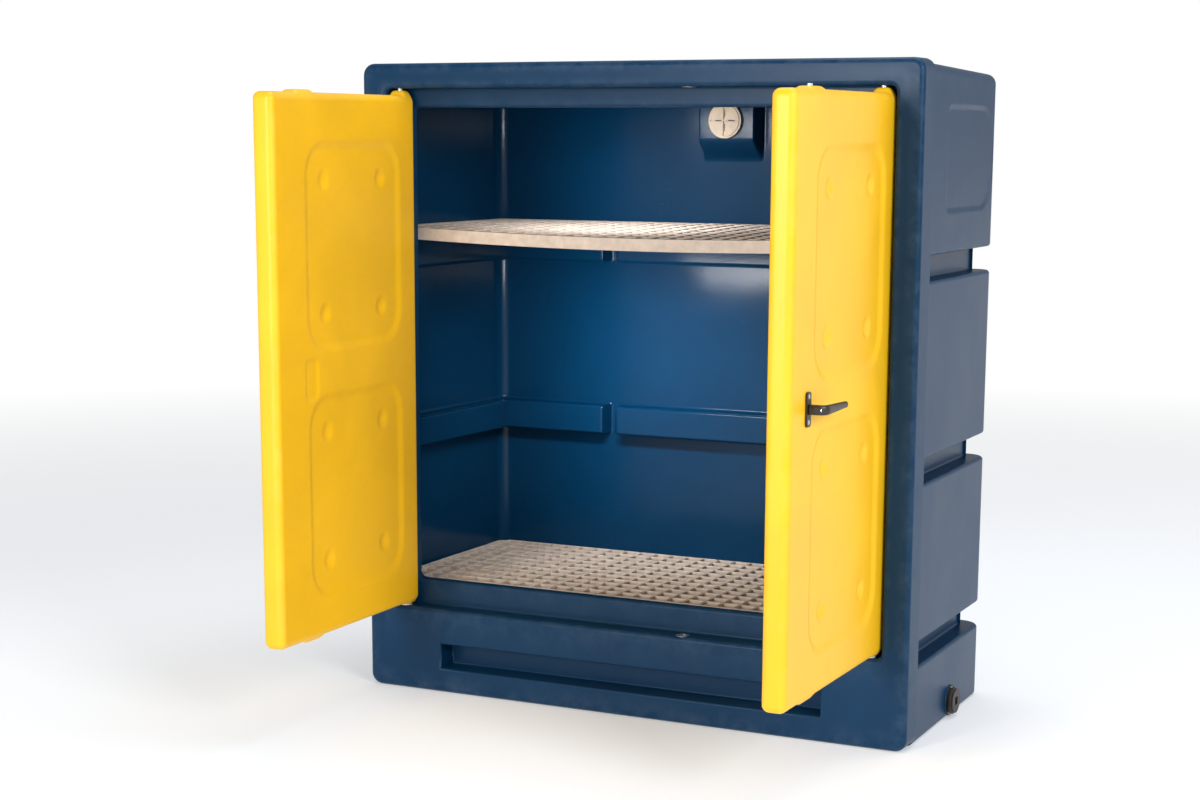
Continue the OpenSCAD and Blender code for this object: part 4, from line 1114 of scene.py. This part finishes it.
class CABINET_OT_finishes(bpy.types.Operator):
    """Make the finishes and give one to every part of the frame"""
    bl_idname = "cabinet.finishes"
    bl_label = "Finishes"

    def execute(self, context):
        colours = context.scene.cabinet_colour
        groups = {"skin": moulded_skin_group(), "scuffs": scuff_group(), "grit": grit_group()}
        # Lighter colours for scuffs and rubbed edges; on the rounded edges they also serve as a painted highlight.
        worn_and_lit_navy, worn_and_lit_yellow = (0.16, 0.22, 0.30), (1.0, 0.72, 0.22)
        FINISHES["shell"] = polyethylene("navy_polyethylene", tuple(colours.shell), worn_and_lit_navy, groups,
                                         0.30, 1.1 * MM, 0.6, 0.2)
        FINISHES["door"] = polyethylene("yellow_polyethylene", tuple(colours.door), worn_and_lit_yellow, groups,
                                        0.36, 0.8 * MM, 0.3, 0.4)
        FINISHES["grating"] = resin("grating_resin", tuple(colours.grating), groups)
        FINISHES["vent"] = plain_plastic("vent_plastic", tuple(colours.vent), groups, 0.45)
        FINISHES["trim"] = plain_plastic("plug_plastic", tuple(colours.dark), groups, 0.42)
        FINISHES["lever"] = plain_plastic("lever_plastic", tuple(colours.dark), groups, 0.32)
        FINISHES["bush"] = plain_plastic("bush_nylon", tuple(colours.nylon), groups, 0.4)
        FINISHES["seal"] = plain_plastic("seal_rubber", (0.02, 0.02, 0.02), groups, 0.7)
        FINISHES["steel"] = turned_metal("pin_steel", tuple(colours.steel), groups, 0.28)
        FINISHES["bolt"] = turned_metal("bolt_steel", shade(tuple(colours.steel), 1.2), groups, 0.22)
        FINISHES["brass"] = turned_metal("bush_brass", tuple(colours.brass), groups, 0.25)
        for name, node in frame["nodes"].items():
            node.data.materials.clear()
            node.data.materials.append(FINISHES[SLOT_OF[name]])
        return {"FINISHED"}


class CABINET_OT_fittings(bpy.types.Operator):
    """Round the edges of the small fittings that show"""
    bl_idname = "cabinet.fittings"
    bl_label = "Fittings"

    def execute(self, context):
        rounds = {"vent_grille": 1.2, "vent_nut": 0.8, "vent_louvre": 0.8, "drain_plug": 1.0,
                  "handle_backplate": 1.0, "top_shoot_bolt": 1.0, "bottom_shoot_bolt": 1.0,
                  "lock_cover": 0.8, "cover_screws": 0.5, "backplate_screws": 0.5, "bolt_keepers": 0.5,
                  "hinge_washers": 0.4}
        for name, width in rounds.items():
            node = frame["nodes"][name]
            node.modifiers.new("weld", "WELD").merge_threshold = 1e-5
            flat = node.modifiers.new("flat", "DECIMATE")
            flat.decimate_type = "DISSOLVE"
            flat.angle_limit = math.radians(2)
            edge = node.modifiers.new("edge", "BEVEL")
            edge.width = width * MM
            edge.segments = 3
            edge.limit_method = "ANGLE"
            edge.angle_limit = math.radians(40)
            edge.use_clamp_overlap = True
            node.modifiers.new("weighted", "WEIGHTED_NORMAL").keep_sharp = True
        return {"FINISHED"}


# ---------------------------------------------------------------- stage

def area_light(name, place, target, size, power, colour=(1.0, 1.0, 1.0)):
    """A square soft light at place that faces target."""
    data = bpy.data.lights.new(name, "AREA")
    data.shape = "RECTANGLE"
    data.size, data.size_y = size
    data.energy = power
    data.color = colour
    light = bpy.data.objects.new(name, data)
    light.location = place
    light.rotation_euler = (Vector(target) - Vector(place)).to_track_quat("-Z", "Y").to_euler()
    bpy.context.scene.collection.objects.link(light)
    return light


def studio_floor(colour):
    """A wide pale floor that fades to plain white far from the object."""
    floor_radius = 40.0
    turn = np.linspace(0, 2 * math.pi, 64, endpoint=False)
    rings = [np.stack([r * np.cos(turn), r * np.sin(turn), np.full(64, -0.5 * MM)], axis=1)
             for r in (0.0, 1.0, 3.0, 9.0, floor_radius)]
    mesh = bpy.data.meshes.new("studio_floor")
    mesh.from_pydata(np.concatenate(rings), [], grid_faces(len(rings), 64, close=True).tolist())
    floor = bpy.data.objects.new("studio_floor", mesh)
    bpy.context.scene.collection.objects.link(floor)
    material, tree, shader, coords = new_finish("studio_floor")
    distance = put(tree, "ShaderNodeVectorMath", -600, 0, operation="LENGTH")
    tree.links.new(coords, distance.inputs[0])
    far = band(tree, distance.outputs["Value"], 2.2, 6.0, -300, 0)
    shader.inputs["Base Color"].default_value = (*colour, 1.0)
    shader.inputs["Roughness"].default_value = 0.9
    shader.inputs["Specular IOR Level"].default_value = 0.05
    shader.inputs["Emission Color"].default_value = (1.0, 1.0, 1.0, 1.0)
    shader.inputs["Emission Strength"].default_value = 0.24
    glow = put(tree, "ShaderNodeEmission", 300, 300)
    mix = put(tree, "ShaderNodeMixShader", 750, 200)
    tree.links.new(far, mix.inputs[0])
    tree.links.new(shader.outputs[0], mix.inputs[1])
    tree.links.new(glow.outputs[0], mix.inputs[2])
    tree.links.new(mix.outputs[0], tree.nodes["Material Output"].inputs["Surface"])
    mesh.materials.append(material)
    return floor


class CABINET_OT_stage(bpy.types.Operator):
    """Set the camera, the pale floor and the soft studio lights"""
    bl_idname = "cabinet.stage"
    bl_label = "Stage"

    def execute(self, context):
        scene = context.scene
        data = bpy.data.cameras.new("camera")
        data.sensor_width = 36.0
        data.lens = 66.15
        data.shift_x = 0.00325
        data.shift_y = 0.11325
        data.clip_end = 200.0
        camera = bpy.data.objects.new("camera", data)
        turn = (Matrix.Rotation(math.radians(26.67), 3, "Z") @ Matrix.Rotation(math.radians(-10.31), 3, "X")
                @ Matrix.Rotation(math.radians(-0.22), 3, "Y") @ Matrix.Rotation(math.pi / 2, 3, "X"))
        camera.rotation_euler = turn.to_euler()
        camera.location = (1.8954, FRONT_Y - 3.8934, 1.15905)
        scene.collection.objects.link(camera)
        scene.camera = camera

        area_light("key", (4.6, -3.2, 2.8), (0.1, -0.2, 0.7), (2.2, 2.0), 175)
        area_light("front", (-0.9, -5.2, 1.5), (-0.1, 0.2, 0.7), (0.9, 1.9), 120)
        area_light("top", (0.3, 0.6, 4.4), (0, 0, 0.5), (3.2, 2.4), 70)
        area_light("rim", (3.2, 3.4, 1.8), (0.5, 0, 0.7), (1.6, 2.0), 18)
        for name, height, power in (("upper_glow", 1.18, 1.1), ("lower_glow", 0.84, 2.2)):
            glow = area_light(name, (-0.12, -0.16, height), (-0.2, 0.25, height - 0.3), (0.3, 0.06), power)
            glow.data.spread = math.radians(120)
            glow.visible_camera = False

        world = bpy.data.worlds.new("studio")
        scene.world = world
        world.use_nodes = True
        tree = world.node_tree
        soft = tree.nodes["Background"]
        soft.inputs["Color"].default_value = (1.0, 1.0, 1.0, 1.0)
        soft.inputs["Strength"].default_value = 0.42
        white = put(tree, "ShaderNodeBackground", 0, -200)
        white.inputs["Strength"].default_value = 1.0
        white.inputs["Color"].default_value = (1.0, 1.0, 1.0, 1.0)
        seen = put(tree, "ShaderNodeLightPath", -200, 300)
        mix = put(tree, "ShaderNodeMixShader", 300, 0)
        tree.links.new(seen.outputs["Is Camera Ray"], mix.inputs[0])
        tree.links.new(soft.outputs[0], mix.inputs[1])
        tree.links.new(white.outputs[0], mix.inputs[2])
        tree.links.new(mix.outputs[0], tree.nodes["World Output"].inputs["Surface"])
        scene.view_settings.view_transform = "Standard"
        studio_floor(tuple(scene.cabinet_colour.floor))
        return {"FINISHED"}


# ---------------------------------------------------------------- panel and registration

STEPS = (CABINET_OT_stage, CABINET_OT_finishes, CABINET_OT_body, CABINET_OT_doors, CABINET_OT_lever,
         CABINET_OT_gratings, CABINET_OT_fittings)
SETTINGS = {"cabinet_shell": CabinetShellSizes, "cabinet_door": CabinetDoorSizes,
            "cabinet_grating": CabinetGratingSizes, "cabinet_colour": CabinetColours}


class CABINET_PT_panel(bpy.types.Panel):
    """Lists the cabinet's steps and sizes"""
    bl_idname = "CABINET_PT_panel"
    bl_label = "Moulded cabinet"
    bl_space_type = "VIEW_3D"
    bl_region_type = "UI"
    bl_category = "Cabinet"

    def draw(self, context):
        for step in STEPS:
            self.layout.operator(step.bl_idname)
        for name, group in SETTINGS.items():
            box = self.layout.box()
            for prop in group.__annotations__:
                box.prop(getattr(context.scene, name), prop)


def register():
    for name, group in SETTINGS.items():
        bpy.utils.register_class(group)
        setattr(bpy.types.Scene, name, bpy.props.PointerProperty(type=group))
    for item in (*STEPS, CABINET_PT_panel):
        bpy.utils.register_class(item)


def unregister():
    for item in (CABINET_PT_panel, *reversed(STEPS)):
        bpy.utils.unregister_class(item)
    for name, group in reversed(SETTINGS.items()):
        delattr(bpy.types.Scene, name)
        bpy.utils.unregister_class(group)


def main():
    """Registers the add-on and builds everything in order."""
    register()
    for step in STEPS:
        area, name = step.bl_idname.split(".")
        getattr(getattr(bpy.ops, area), name)()


if __name__ == "__main__":
    main()
